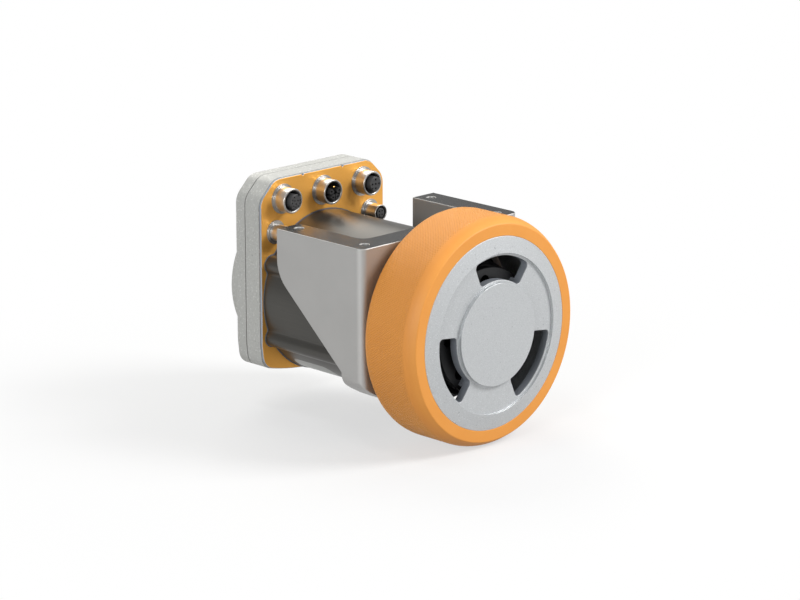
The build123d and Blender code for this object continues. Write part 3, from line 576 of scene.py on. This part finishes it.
# Hub cover: a turned aluminium cap, lacquered with the rim. It is pushed into the hub's pocket and
# hides the six black steel screws that hold the wheel on the output flange.

cover_front = cover_low.y
cover_edge = 0.2 * mm
cover_plug = cover_high.y
cover_fit = 0.03 * mm


def dress(finish, *names):
    """Gives CAD nodes whose shape is right their real finish."""
    for name in names:
        nodes[name].material_slots[0].material = finish


def black_oxide():
    """Oiled black steel."""
    finish = Finish("black_oxide")
    grain = finish.noise(0.5 * mm, 3.0)
    finish.shade(base_color=finish.mix(grain, screen(28, 28, 29), screen(46, 46, 47)), metallic=0.6,
                 roughness=0.38 + 0.15 * grain)
    finish.bump(grain, 0.008 * mm)
    return finish.material


cap = turned([
    (0, cover_front, 0), (cover_radius, cover_front, cover_edge), (cover_radius, web_front, 0),
    (pocket_radius - cover_fit, web_front, 0), (pocket_radius - cover_fit, cover_plug, 0),
    (0, cover_plug, 0)])
piece("hub_cap", "wheel", cap, rim_casting, "rim_aluminium", "hub_cover")
screw_steel = black_oxide()
dress(screw_steel, "wheel_screws")


# Bracket: milled from a block of aluminium and grey anodised. The plate holds gearbox and motor
# between its bores, and two tapering arms carry the four tapped holes for the chassis.

def pushed(corners, start, end):
    """Solid pushed along the wheel axis from an outline of (x, z, corner radius) points."""
    return stacked(lambda grow: outline(corners), [(0, start), (0, end)])


def rounded(thing, edge):
    """Rounds the sharp edges of a finished piece, before its normals are weighted."""
    tool = thing.modifiers.new("edges", "BEVEL")
    tool.width = edge
    tool.segments = 3
    tool.limit_method = "ANGLE"
    tool.angle_limit = math.radians(35)
    tool.use_clamp_overlap = False
    thing.modifiers.move(len(thing.modifiers) - 1, 0)


bracket_low, bracket_high = span("mounting_bracket")
motor_low, motor_high = span("motor_body")
drum_rear = span("gearbox_housing")[1].y
plate_front = bracket_low.y
plate_rear = motor_low.y
arm_end = bracket_high.y
half_width = bracket_high.x
top = bracket_high.z
bolt_x = 50 * mm                  # the chassis bolts, from the middle of the top
bolt_y = 25 * mm
bolt_middle = (plate_front + arm_end) / 2
bolt_core = 2.5 * mm
bolt_depth = 16 * mm
arm_inner = 42.9 * mm
bay_corner = 6 * mm
front_corner = 4.5 * mm
sole_radius = 100 * mm
sole_centre = bracket_low.z + sole_radius
sole_corner = 8 * mm
gusset_start = 23.6 * mm          # height over the wheel axis where an arm starts to taper
gusset_slope = math.tan(math.radians(41.8))
gusset_bend = 18 * mm
bracket_edge = 0.5 * mm
motor_radius = motor_high.z
lobe_circle = motor_radius - 0.8 * mm
lobe_radius = 5 * mm
lobe_fillet = 2.5 * mm
lobe_angle = 28                   # degrees above and below the middle
wall_facet = 2.5                  # degrees
bay_gap = 0.6 * mm
drum_bore = 36.53 * mm
pilot_bore = 35.03 * mm
rod_core = 2.5 * mm
rod_bite = 10 * mm
screw_count = 6                   # the gearbox screws
screw_core = 1.5 * mm
screw_bite = 5 * mm
screw_circle = 39.75 * mm
bore_facets = 120


def motor_section(grow=0.0):
    """Circle with a lobe for each tie rod and a hollow fillet on both sides of it."""
    radius, lobe = motor_radius + grow, lobe_radius + grow
    reach = radius + lobe_fillet
    spread = math.acos((lobe_circle ** 2 + reach ** 2 - (lobe + lobe_fillet) ** 2)
                       / (2 * lobe_circle * reach))
    hollow = (reach * math.cos(spread), reach * math.sin(spread))
    leave = math.degrees(spread)
    meet = math.degrees(math.atan2(hollow[1], hollow[0] - lobe_circle))
    points = []
    turns = [lobe_angle, 180 - lobe_angle, 180 + lobe_angle, 360 - lobe_angle]
    for turn, following in zip(turns, turns[1:] + [360 + lobe_angle]):
        swell = arc(lobe_fillet, -180 - leave, -180 - meet, 5, (hollow[0], -hollow[1]))
        swell += arc(lobe, -meet, meet, 14, (lobe_circle, 0))[1:-1]
        swell += arc(lobe_fillet, 180 + meet, 180 + leave, 5, hollow)
        c, s = math.cos(math.radians(turn)), math.sin(math.radians(turn))
        points += [(x * c - z * s, x * s + z * c, 0) for x, z, _ in swell]
        steps = round((following - turn - 2 * leave) / wall_facet)
        points += arc(radius, turn + leave, following - leave, steps)[1:-1]
    return points


def lobe_places():
    """The (x, z) places of the four tie rods."""
    x = lobe_circle * math.cos(math.radians(lobe_angle))
    z = lobe_circle * math.sin(math.radians(lobe_angle))
    return [(x, z), (x, -z), (-x, z), (-x, -z)]


def grey_anodised():
    """Satin grey, faintly grained. The milled top is smoother and streaked, with painted dark
    reflection.
    """
    finish = Finish("bracket_anodised")
    x, y, z = finish.axes(finish.about(axis))
    grain = finish.noise(0.5 * mm, 3.0)
    cloud = finish.noise(18 * mm, 3.0)
    streak = finish.noise(2 * mm, 4.0, finish.about(axis, (0.06, 1.6, 1)))
    side = finish.mix(cloud * 0.5 + grain * 0.5, screen(166, 165, 163), screen(183, 182, 180))
    # Painted dark reflection: the top's colour is far darker than the sides'.
    painted_dark_top = finish.mix(streak, screen(22, 22, 22), screen(46, 46, 45))
    level = z.ramp(top - 0.06 * mm, top - 0.02 * mm)
    # Painted dark reflection: the top goes deepest dark towards the left rear, along the streaks.
    darker = x.ramp(-30 * mm, -58 * mm) * y.ramp(plate_rear + 5 * mm, arm_end) * (0.4 + streak)
    painted_dark_top = finish.mix(darker * 0.8, painted_dark_top, screen(16, 16, 16))
    finish.shade(base_color=finish.mix(level, side, painted_dark_top), metallic=0.8,
                 roughness=0.46 + 0.08 * grain - 0.26 * level)
    finish.bump(grain, 0.015 * mm)
    return finish.material


sole_start = -math.degrees(math.acos(half_width / sole_radius))
sole = arc(sole_radius, sole_start, -180 - sole_start, 16, (0, sole_centre))
sole[0] = sole[0][:2] + (sole_corner,)
sole[-1] = sole[-1][:2] + (sole_corner,)
front_view = [(half_width, top + past, 0)] + sole + [(-half_width, top + past, 0)]
foot = gusset_start - gusset_slope * (arm_end - plate_rear)
side_view = [(plate_front, top, 0), (arm_end, top, 0), (arm_end, gusset_start, gusset_bend),
             (plate_rear, foot, 0), (plate_rear, bracket_low.z - past, 0),
             (plate_front, bracket_low.z - past, 0)]
plan = [(-half_width, plate_front, front_corner), (half_width, plate_front, front_corner),
        (half_width, arm_end + past, 0), (arm_inner, arm_end + past, 0),
        (arm_inner, plate_rear, bay_corner), (-arm_inner, plate_rear, bay_corner),
        (-arm_inner, arm_end + past, 0), (-half_width, arm_end + past, 0)]
from_side = swung(pushed(side_view, -half_width - past, half_width + past), 90, "Z")
from_top = swung(pushed(plan, -top - past, past - bracket_low.z), -90, "X")
bracket = pushed(front_view, plate_front - past, arm_end + past)
bracket = cut(bracket, from_side, "INTERSECT")
bracket = cut(bracket, from_top, "INTERSECT")
bracket = cut(bracket, pushed(motor_section(bay_gap), plate_rear, arm_end + 2 * past))
drum_seat = rods(drum_bore, plate_front - past, drum_rear, segments=bore_facets)
bracket = cut(bracket, drum_seat)
pilot_seat = rods(pilot_bore, drum_rear - past, plate_rear + past, segments=bore_facets)
bracket = cut(bracket, pilot_seat)
bolts = [(sx * bolt_x, bolt_middle + sy * bolt_y) for sx in (1, -1) for sy in (1, -1)]
bracket = cut(bracket, swung(rods(bolt_core, -top - past, bolt_depth - top, bolts), -90, "X"))
bracket = cut(bracket, rods(rod_core, plate_rear - rod_bite, plate_rear + past, lobe_places()))
screws = on_circle(screw_count, screw_circle, 0)
bracket = cut(bracket, rods(screw_core, plate_front - past, plate_front + screw_bite, screws))
rounded(piece("bracket", "frame", bracket, grey_anodised(), "bracket_grey", "mounting_bracket"),
        bracket_edge)


# Motor: extruded aluminium housing, dark anodised, with a lobe for each of the four tie rods. A
# bare sheet lies in a shallow pocket on its underside, and a rubber collar seals its rear end.

motor_bore = motor_radius - 6.3 * mm
motor_rear = motor_high.y
motor_edge = 0.2 * mm
channel_radius = 2.7 * mm
sheet_span = 86                   # degrees
sheet_edge = 0.1 * mm
sheet_end_gap = 5.9 * mm
sheet_length = 32 * mm
sheet_corner = 6 * mm
sheet_margin = 0.3 * mm
pocket_depth = 0.5 * mm
sheet_thickness = 0.4 * mm


def dark_anodised():
    """Warm dark grey, satin along the extrusion, with fine draw lines."""
    finish = Finish("motor_anodised")
    line = finish.noise(0.5 * mm, 3.0, finish.about(axis, (1, 0.02, 1)))
    cloud = finish.noise(22 * mm, 3.0)
    body = finish.mix(line * 0.5 + cloud * 0.5, screen(66, 65, 62), screen(84, 82, 78))
    finish.shade(base_color=body, metallic=0.6, roughness=0.33 + 0.08 * cloud)
    finish.bump(line, 0.012 * mm)
    return finish.material


def bare_sheet():
    """Pale brushed sheet."""
    finish = Finish("bare_sheet")
    brushed = finish.noise(0.3 * mm, 3.0, finish.about(axis, (0.03, 1, 1)))
    body = finish.mix(brushed, screen(150, 151, 148), screen(176, 177, 174))
    finish.shade(base_color=body, metallic=0.6, roughness=0.3 + 0.2 * brushed)
    finish.bump(brushed, 0.01 * mm)
    return finish.material


def underside(depth, height, margin):
    """Curved slab on the motor's underside, rounded in plan, from a depth in the wall outwards."""
    half = math.radians(sheet_span / 2)
    wide = motor_radius * math.sin(half) - margin
    end = motor_rear - sheet_end_gap
    start, end = end - sheet_length + margin, end - margin
    corner = sheet_corner - margin
    column = pushed([(-wide, start, corner), (wide, start, corner), (wide, end, corner),
                     (-wide, end, corner)], motor_bore * math.cos(half), motor_radius + past)
    inner = motor_radius - depth
    slab = turned([(inner, start - past, 0), (inner + height, start - past, 0),
                   (inner + height, end + past, 0), (inner, end + past, 0)], segments=240)
    return cut(slab, swung(column, -90, "X"), "INTERSECT")


motor = pushed(motor_section(), plate_rear, motor_rear)
motor = cut(motor, rods(motor_bore, plate_rear - past, motor_rear + past, segments=bore_facets))
motor = cut(motor, rods(channel_radius, plate_rear - past, motor_rear + past, lobe_places()))
motor = cut(motor, underside(pocket_depth, pocket_depth + past, 0.0))
rounded(piece("motor", "frame", motor, dark_anodised(), "motor_grey", "motor_body"), motor_edge)
blank = underside(pocket_depth, sheet_thickness, sheet_margin)
rounded(piece("underside_sheet", "frame", blank, bare_sheet(), "blank_plate", "underside_plate"),
        sheet_edge)
dress(screw_steel, "tie_rods")


def collar_rubber():
    """Smooth slate rubber with a low gloss."""
    finish = Finish("collar_rubber")
    mottle = finish.noise(1.5 * mm, 2.0)
    finish.shade(base_color=finish.mix(mottle, screen(94, 101, 110), screen(110, 118, 128)),
                 roughness=0.26 + 0.1 * mottle, specular_ior_level=0.8)
    finish.bump(mottle, 0.01 * mm)
    return finish.material


dress(collar_rubber(), "motor_collar")


# Connector panel: an orange anodised sheet, punched, with a bare cut edge. It lies on the housing's
# front, round the motor and under the flanges of the sockets.

panel_low, panel_high = span("connector_panel")
box_low, box_high = span("front_shell")
panel_front = panel_low.y
panel_inset = box_high.x - panel_high.x
panel_edge = 0.25 * mm
collar_width = 0.4 * mm
notch_radius = 0.8 * mm
notch_x = 15 * mm
large_neck = 6.08 * mm
small_neck = 3.88 * mm
box_half_width = box_high.x       # the housing, whose outline the panel follows
box_top = box_high.z
box_sole = box_low.z
box_bevel = 10.8 * mm
box_bevel_round = 10 * mm
box_sole_radius = 165 * mm
box_sole_corner = 8 * mm
box_side_bend = -24 * mm          # height below which the sides lean in
box_side_lean = math.tan(math.radians(6.8))
box_side_round = 40 * mm
sockets = {name: span(f"{name}_socket_shell") for name in
           ("signal", "power", "bus", "service", "sensor")}


def box_section(inset):
    """Bevelled top corners, sides that lean in at the foot, and a large round sole."""
    wide, high = box_half_width - inset, box_top - inset
    bevel = box_bevel - inset * (2 - math.sqrt(2))
    bevel_round = box_bevel_round - inset
    centre = box_sole + box_sole_radius
    radius = box_sole_radius - inset
    foot_corner = box_sole_corner - inset
    # A leaning side meets the sole at the lower root of a z^2 + 2 b z + c = 0.
    level = wide - box_side_bend * box_side_lean
    a = 1 + box_side_lean ** 2
    b = box_side_lean * level - centre
    c = level ** 2 + centre ** 2 - radius ** 2
    foot_z = (-b - math.sqrt(b * b - a * c)) / a
    start = math.degrees(math.atan2(foot_z - centre, level + foot_z * box_side_lean))
    sole = arc(radius, start, -180 - start, 12, (0, centre))
    right = [(wide - bevel, high, bevel_round), (wide, high - bevel, bevel_round),
             (wide, box_side_bend, box_side_round - inset), sole[0][:2] + (foot_corner,)]
    left = [(-x, z, corner) for x, z, corner in reversed(right)]
    return right + sole[1:-1] + left


def orange_anodised():
    """Satin orange with a fine even grain."""
    finish = Finish("panel_orange")
    grain = finish.noise(0.5 * mm, 3.0)
    cloud = finish.noise(20 * mm, 2.0)
    body = finish.mix(grain * 0.5 + cloud * 0.5, screen(232, 165, 70), screen(247, 188, 96))
    finish.shade(base_color=body, metallic=0.7, roughness=0.46 + 0.1 * grain)
    finish.bump(grain, 0.01 * mm)
    return finish.material


def bare_edge():
    """Cut aluminium edge, bright and a little blue."""
    finish = Finish("panel_bare_edge")
    line = finish.noise(0.25 * mm, 2.0)
    finish.shade(base_color=finish.mix(line, screen(146, 158, 172), screen(180, 190, 202)),
                 metallic=0.4, roughness=0.4 + 0.1 * line)
    finish.bump(line, 0.01 * mm)
    return finish.material


def socket_place(name):
    """The (x, z) place of a socket's axis."""
    low, high = sockets[name]
    return (low.x + high.x) / 2, (low.z + high.z) / 2


shell_front = panel_high.y
before, behind = panel_front - past, shell_front + past
panel = pushed(box_section(panel_inset), panel_front, shell_front)
panel = cut(panel, pushed(motor_section(collar_width), before, behind))
for name in sockets:
    radius = small_neck if name in ("service", "sensor") else large_neck
    panel = cut(panel, rods(radius, before, behind, [socket_place(name)], segments=48))
notches = [(notch_x, box_top - panel_inset), (-notch_x, box_top - panel_inset)]
panel = cut(panel, rods(notch_radius, before, behind, notches))
panel.normal_update()
for face in panel.faces:
    cut_edge = abs(face.normal.y) < 0.5
    face.material_index = int(cut_edge)
sheet = piece("panel", "frame", panel, orange_anodised(), "panel_orange", "connector_panel")
sheet.data.materials.append(bare_edge())
rounded(sheet, panel_edge)


# Sockets: turned brass shells, nickel plated and polished, screwed through the panel and the
# housing's wall with a nut inside. A moulded insulator in each bore holds the contacts.

socket_flange = 0.8 * mm
socket_seat = panel_front - socket_flange
socket_stretch = 0.5 * mm         # of a barrel past the CAD's
flange_trim = 0.25 * mm           # of a flange inside the CAD's
flange_edge = 0.2 * mm
flange_ring = 0.8 * mm            # the lower ring round the flange, wide and deep
ring_step = 0.4 * mm
inner_corner = 0.1 * mm
neck_wall = 1.2 * mm
neck_step = 0.8 * mm
lining_wall = 0.35 * mm
lining_recess = 0.6 * mm
island_edge = 0.25 * mm
contact_depth = 5 * mm
power_count = 5                   # the power socket's four lobes and its pin, evenly spaced
power_start = 162                 # degrees
power_circle = 3 * mm
power_places = on_circle(power_count, power_circle, power_start)
lobe_span = 55                    # degrees
lobe_inner = 1.2 * mm
lobe_corner = 0.7 * mm
key_radius = 0.55 * mm
key_shares = (0.85, 1)            # places of a key's two cuts, in the island's radius
pin_radius = 0.7 * mm
pin_tip = 0.5 * mm
pin_reach = 1.5 * mm              # of the pin past the CAD's
large = {"barrel": 6.95 * mm, "wall": 1.2 * mm, "lip": 0.4 * mm, "island": 4.05 * mm}
small = {"barrel": 4.65 * mm, "wall": 0.6 * mm, "lip": 0.2 * mm, "island": 2.8 * mm}
forms = {"signal": large, "power": large, "bus": large, "service": small, "sensor": small}
# How far an insert's face stands out of its barrel, and where its key slot is, in degrees.
face_reach = {"signal": 2.4 * mm, "power": 1.6 * mm, "bus": 2.4 * mm, "service": -0.2 * mm,
              "sensor": -0.2 * mm}
key_turn = {"signal": 62, "bus": 224, "service": 250, "sensor": 250}
contact_radius = {"signal": 0.46 * mm, "power": 0.62 * mm, "bus": 0.62 * mm,
                  "service": 0.5 * mm, "sensor": 0.5 * mm}
contact_holes = {"signal": on_circle(10, 2.9 * mm, 118)[:8] + on_circle(3, 1.25 * mm, 26),
                 "power": power_places[:-1], "bus": on_circle(4, 2.5 * mm, 0) + [(0, 0)],
                 "service": on_circle(4, 1.5 * mm, 45), "sensor": on_circle(4, 1.5 * mm, 45)}


def polished_nickel():
    """Bright warm plating, faintly hazy, with painted shade on the flange."""
    finish = Finish("polished_nickel")
    haze = finish.noise(3 * mm, 3.0)
    x, y, z = finish.axes(finish.about(axis))
    # Painted shade: the flange, behind the barrel's seat, is darker.
    flange = y.ramp(socket_seat - 0.2 * mm, socket_seat)
    body = finish.mix(haze, screen(188, 186, 182), screen(214, 212, 209))
    body = finish.mix(flange * 0.45, body, screen(136, 134, 131))
    finish.shade(base_color=body, metallic=1.0, roughness=0.3 + 0.06 * haze)
    finish.bump(haze, 0.02 * mm)
    return finish.material


def moulded_insulator(name, level):
    """Moulded plastic of a screen level, satin and faintly grained."""
    finish = Finish(name)
    grain = finish.noise(0.4 * mm, 2.0)
    dark = screen(level - 5, level - 5, level - 4)
    light = screen(level + 6, level + 6, level + 7)
    finish.shade(base_color=finish.mix(grain, dark, light), roughness=0.4 + 0.15 * grain)
    finish.bump(grain, 0.008 * mm)
    return finish.material


def socket_shell(form, flange, front, end):
    """Barrel with a rounded lip, double ringed flange and neck, about its own axis."""
    barrel = form["barrel"]
    bore = barrel - form["wall"]
    boss = flange - flange_ring
    step = socket_seat + ring_step
    neck_outer = barrel - neck_step
    neck_inner = neck_outer - neck_wall
    return turned([
        (bore, front, form["lip"]), (barrel, front, form["lip"]),
        (barrel, socket_seat, inner_corner), (boss, socket_seat, flange_edge),
        (boss, step, inner_corner), (flange, step, flange_edge),
        (flange, panel_front, inner_corner), (neck_outer, panel_front, 0),
        (neck_outer, end, flange_edge), (neck_inner, end, flange_edge),
        (neck_inner, panel_front, 0), (bore, panel_front, 0)], segments=96)


def lining(form, front, end, middle):
    """Lining of the bore with its rear body, from the (radius, y, corner) points of its middle."""
    bore = form["barrel"] - form["wall"]
    inner = bore - lining_wall
    lip = front + lining_recess
    neck_inner = form["barrel"] - neck_step - neck_wall
    return turned(middle + [
        (inner, socket_seat, 0), (inner, lip, inner_corner), (bore, lip, 0), (bore, panel_front, 0),
        (neck_inner, panel_front, 0), (neck_inner, end, 0), (0, end, 0)], segments=72)


def lobe(island, face):
    """One of the power socket's four lobes, standing on the lining's floor, about +X."""
    half = lobe_span / 2
    outer = arc(island, -half, half, 6)
    outer[0] = outer[0][:2] + (lobe_corner,)
    outer[-1] = outer[-1][:2] + (lobe_corner,)
    corners = outer + arc(lobe_inner, half, -half, 1)
    return stacked(lambda grow: outline(corners, steps=4), [(0, face), (0, socket_seat)])


def lobed_insert(form, front, end, face, holes):
    """Lining with a flat floor, and four lobes that stand on it round the pin."""
    lobes = bmesh.new()
    for i in range(power_count - 1):
        turn = power_start + 360 * i / power_count
        put_in(lobes, swung(lobe(form["island"], face), turn))
    lobes = cut(lobes, holes)
    put_in(lobes, lining(form, front, end, [(0, socket_seat, 0)]))
    return lobes


def keyed_insert(form, front, end, face, holes, turn):
    """Lining with a round island, and a key slot in the island's side."""
    island = form["island"]
    middle = [(0, face, 0), (island, face, island_edge), (island, socket_seat, 0)]
    body = cut(lining(form, front, end, middle), holes)
    for share in key_shares:
        key = on_circle(1, share * island, turn)
        body = cut(body, rods(key_radius, face - past, face + 2 * contact_depth, key, segments=20))
    return body


nickel = polished_nickel()
insulator_level = {"signal": 66, "power": 38, "bus": 60, "service": 56, "sensor": 56}
for name, (low, high) in sockets.items():
    x, z = socket_place(name)
    form = forms[name]
    front = low.y - socket_stretch
    shell = socket_shell(form, (high.x - low.x) / 2 - flange_trim, front, high.y)
    piece(f"{name}_shell", "frame", moved(shell, (x, 0, z)), nickel, "socket_nickel",
          f"{name}_socket_shell")
    end = span(f"{name}_socket_insert")[1].y
    face = front - face_reach[name]
    holes = rods(contact_radius[name], face - past, face + contact_depth, contact_holes[name],
                 segments=20)
    if name == "power":
        insert = lobed_insert(form, front, end, face, holes)
    else:
        insert = keyed_insert(form, front, end, face, holes, key_turn[name])
    plastic = moulded_insulator(f"{name}_insulator", insulator_level[name])
    piece(f"{name}_insulator", "frame", moved(insert, (x, 0, z)), plastic, "insert_black",
          f"{name}_socket_insert")


def gold_plate():
    """Soft gold with a faint haze."""
    finish = Finish("gold_plate")
    haze = finish.noise(0.6 * mm, 2.0)
    finish.shade(base_color=finish.mix(haze, screen(222, 170, 84), screen(246, 206, 128)),
                 metallic=1.0, roughness=0.18 + 0.12 * haze)
    return finish.material


x, z = socket_place("power")
pin_x, pin_z = power_places[-1]
pin_front = span("power_pin")[0].y - pin_reach
pin = turned([(0, pin_front, 0), (pin_radius, pin_front, pin_tip), (pin_radius, panel_front, 0),
              (0, panel_front, 0)], segments=32)
piece("earth_pin", "frame", moved(pin, (x + pin_x, 0, z + pin_z)), gold_plate(), "gold_contact",
      "power_pin")
dress(nickel, "socket_nuts")


# Housing: two halves of cast aluminium, blasted, with a rubber gasket in the seam. Six socket head
# screws, sunk in the rear cover, draw them together round the controller board.

def blasted_casting():
    """Pale grey casting with a fine bright and dark speckle."""
    finish = Finish("housing_casting")
    grain = finish.noise(0.9 * mm, 4.0)
    speck = finish.noise(1.2 * mm, 1.0).ramp(0.58, 0.7)
    pit = finish.noise(1.6 * mm, 2.0).ramp(0.66, 0.74)
    cloud = finish.noise(30 * mm, 2.0)
    body = finish.mix(grain * 0.7 + cloud * 0.3, screen(170, 170, 166), screen(202, 202, 198))
    body = finish.mix(speck * 0.4, body, screen(228, 228, 225))
    body = finish.mix(pit * 0.5, body, screen(134, 134, 131))
    finish.shade(base_color=body, metallic=0.3, roughness=0.62 - 0.1 * speck)
    finish.bump(grain + 0.4 * speck - 0.6 * pit, 0.05 * mm)
    return finish.material


def copied(node):
    """Merged copy of a CAD node, with its flat faces whole again, about the wheel axis."""
    flat = math.radians(0.2)
    shape = bmesh.new()
    shape.from_mesh(nodes[node].data)
    bmesh.ops.remove_doubles(shape, verts=shape.verts[:], dist=0.001 * mm)
    bmesh.ops.dissolve_limit(shape, angle_limit=flat, verts=shape.verts[:], edges=shape.edges[:])
    return moved(shape, -axis)


def black_rubber():
    """Moulded rubber, matt, faintly mottled."""
    finish = Finish("black_rubber")
    mottle = finish.noise(0.8 * mm, 3.0)
    finish.shade(base_color=finish.mix(mottle, screen(26, 26, 26), screen(40, 40, 39)),
                 roughness=0.62 + 0.15 * mottle)
    finish.bump(mottle, 0.02 * mm)
    return finish.material


casting = blasted_casting()
for node in ("front_shell", "rear_cover"):
    piece(f"{node}_casting", "frame", copied(node), casting, "housing_cast", node, smooth=30)
seal_rubber = black_rubber()
dress(seal_rubber, "housing_gasket")
dress(screw_steel, "cover_screws")


# Gearbox: the drum and the output flange are turned and black anodised. Inside are a planetary gear
# set, a crossed roller bearing and a shaft seal. Six screws hold the drum in the bracket.

def black_anodised():
    """Satin black with faint turning marks about the wheel axis."""
    finish = Finish("black_anodised")
    pitch = 0.5 * mm
    x, y, z = finish.axes(finish.about(axis))
    radius = (x * x + z * z) ** 0.5
    mark = (radius * (2 * math.pi / pitch)).sine()
    grain = finish.noise(0.7 * mm, 3.0)
    finish.shade(base_color=finish.mix(grain, screen(26, 26, 27), screen(42, 42, 43)), metallic=0.3,
                 roughness=0.4 + 0.12 * grain)
    finish.bump(grain + 0.3 * mark, 0.008 * mm)
    return finish.material


dress(black_anodised(), "output_flange", "gearbox_housing")
dress(seal_rubber, "shaft_seal")
dress(screw_steel, "gearbox_screws")


def metal(name, dark, light, roughness, grain=0.6 * mm):
    """Plain machined or plated metal with a fine grain."""
    finish = Finish(name)
    mottle = finish.noise(grain, 3.0)
    finish.shade(base_color=finish.mix(mottle, screen(*dark), screen(*light)), metallic=0.9,
                 roughness=roughness + 0.15 * mottle)
    finish.bump(mottle, 0.006 * mm)
    return finish.material


gear_steel = metal("ground_steel", (158, 158, 162), (184, 184, 188), 0.25)
race_steel = metal("race_steel", (176, 176, 180), (204, 204, 208), 0.14)
dress(gear_steel, "carrier_plate", "planet_pins", "planet_gear_1", "planet_gear_2", "planet_gear_3",
      "ring_gear")
dress(race_steel, "output_bearing_outer", "output_bearing_inner", "output_bearing_rollers")
dress(metal("sintered_bronze", (168, 122, 74), (196, 148, 96), 0.4, 0.4 * mm),
      "planet_bush_1", "planet_bush_2", "planet_bush_3")


# Inside the motor: a laminated stator with a coil on each tooth, and a magnet rotor on a shaft that
# runs in the bearings of two end shields. The shaft has the sun pinion cut on its front end and an
# encoder magnet on its rear end.

def laminated_iron():
    """Thin sheets stacked along the axis, with a dark line between them."""
    finish = Finish("laminated_iron")
    sheet = 0.5 * mm
    x, y, z = finish.axes(finish.place)
    line = (y * (2 * math.pi / sheet)).sine().ramp(0.6, 1.0)
    grain = finish.noise(0.5 * mm, 3.0)
    body = finish.mix(grain, screen(104, 104, 106), screen(128, 128, 131))
    finish.shade(base_color=finish.mix(line * 0.7, body, screen(52, 50, 48)), metallic=0.7,
                 roughness=0.45 + 0.2 * line)
    finish.bump(1 - line, 0.02 * mm)
    return finish.material


def enamelled_copper():
    """Wound wire under enamel, turn by turn."""
    finish = Finish("enamelled_copper")
    wire = 0.7 * mm
    x, y, z = finish.axes(finish.place)
    ridge = ((x + z) * (2 * math.pi / wire)).sine() * 0.5 + 0.5
    finish.shade(base_color=finish.mix(ridge, screen(120, 58, 28), screen(206, 118, 66)),
                 metallic=0.6, roughness=0.28 + 0.1 * ridge)
    finish.bump(ridge, 0.12 * mm)
    return finish.material


dress(gear_steel, "motor_shaft")
dress(race_steel, "front_bearing_outer", "front_bearing_inner", "front_bearing_rollers",
      "rear_bearing_outer", "rear_bearing_inner", "rear_bearing_rollers")
dress(laminated_iron(), "stator_core", "rotor_core")
dress(enamelled_copper(), "stator_coils")
dress(metal("nickel_plated_magnet", (150, 150, 154), (178, 178, 182), 0.2), "rotor_magnets",
      "encoder_magnet")
dress(metal("turned_shield", (164, 165, 167), (192, 193, 195), 0.34), "motor_front_shield",
      "motor_rear_shield")


# Controller board: a green circuit board on brass standoffs, with the power stage, its capacitors
# and the sensor that reads the encoder magnet.

def solder_mask():
    """Green lacquer over faint copper tracks."""
    finish = Finish("solder_mask")
    pitch = 2.5 * mm
    x, y, z = finish.axes(finish.place)
    wave = (x * (2 * math.pi / pitch)).sine() * (z * (2 * math.pi / pitch)).sine()
    track = wave.ramp(0.35, 0.45)
    body = finish.mix(track, screen(16, 84, 48), screen(34, 116, 66))
    finish.shade(base_color=body, roughness=0.26 + 0.08 * track)
    finish.bump(track, 0.03 * mm)
    return finish.material


dress(solder_mask(), "controller_board")
dress(metal("turned_brass", (186, 146, 78), (216, 178, 108), 0.26), "board_standoffs")
dress(metal("drawn_can", (170, 171, 174), (200, 201, 204), 0.24), "board_capacitors")
dress(moulded_insulator("chip_package", 34), "board_chips")
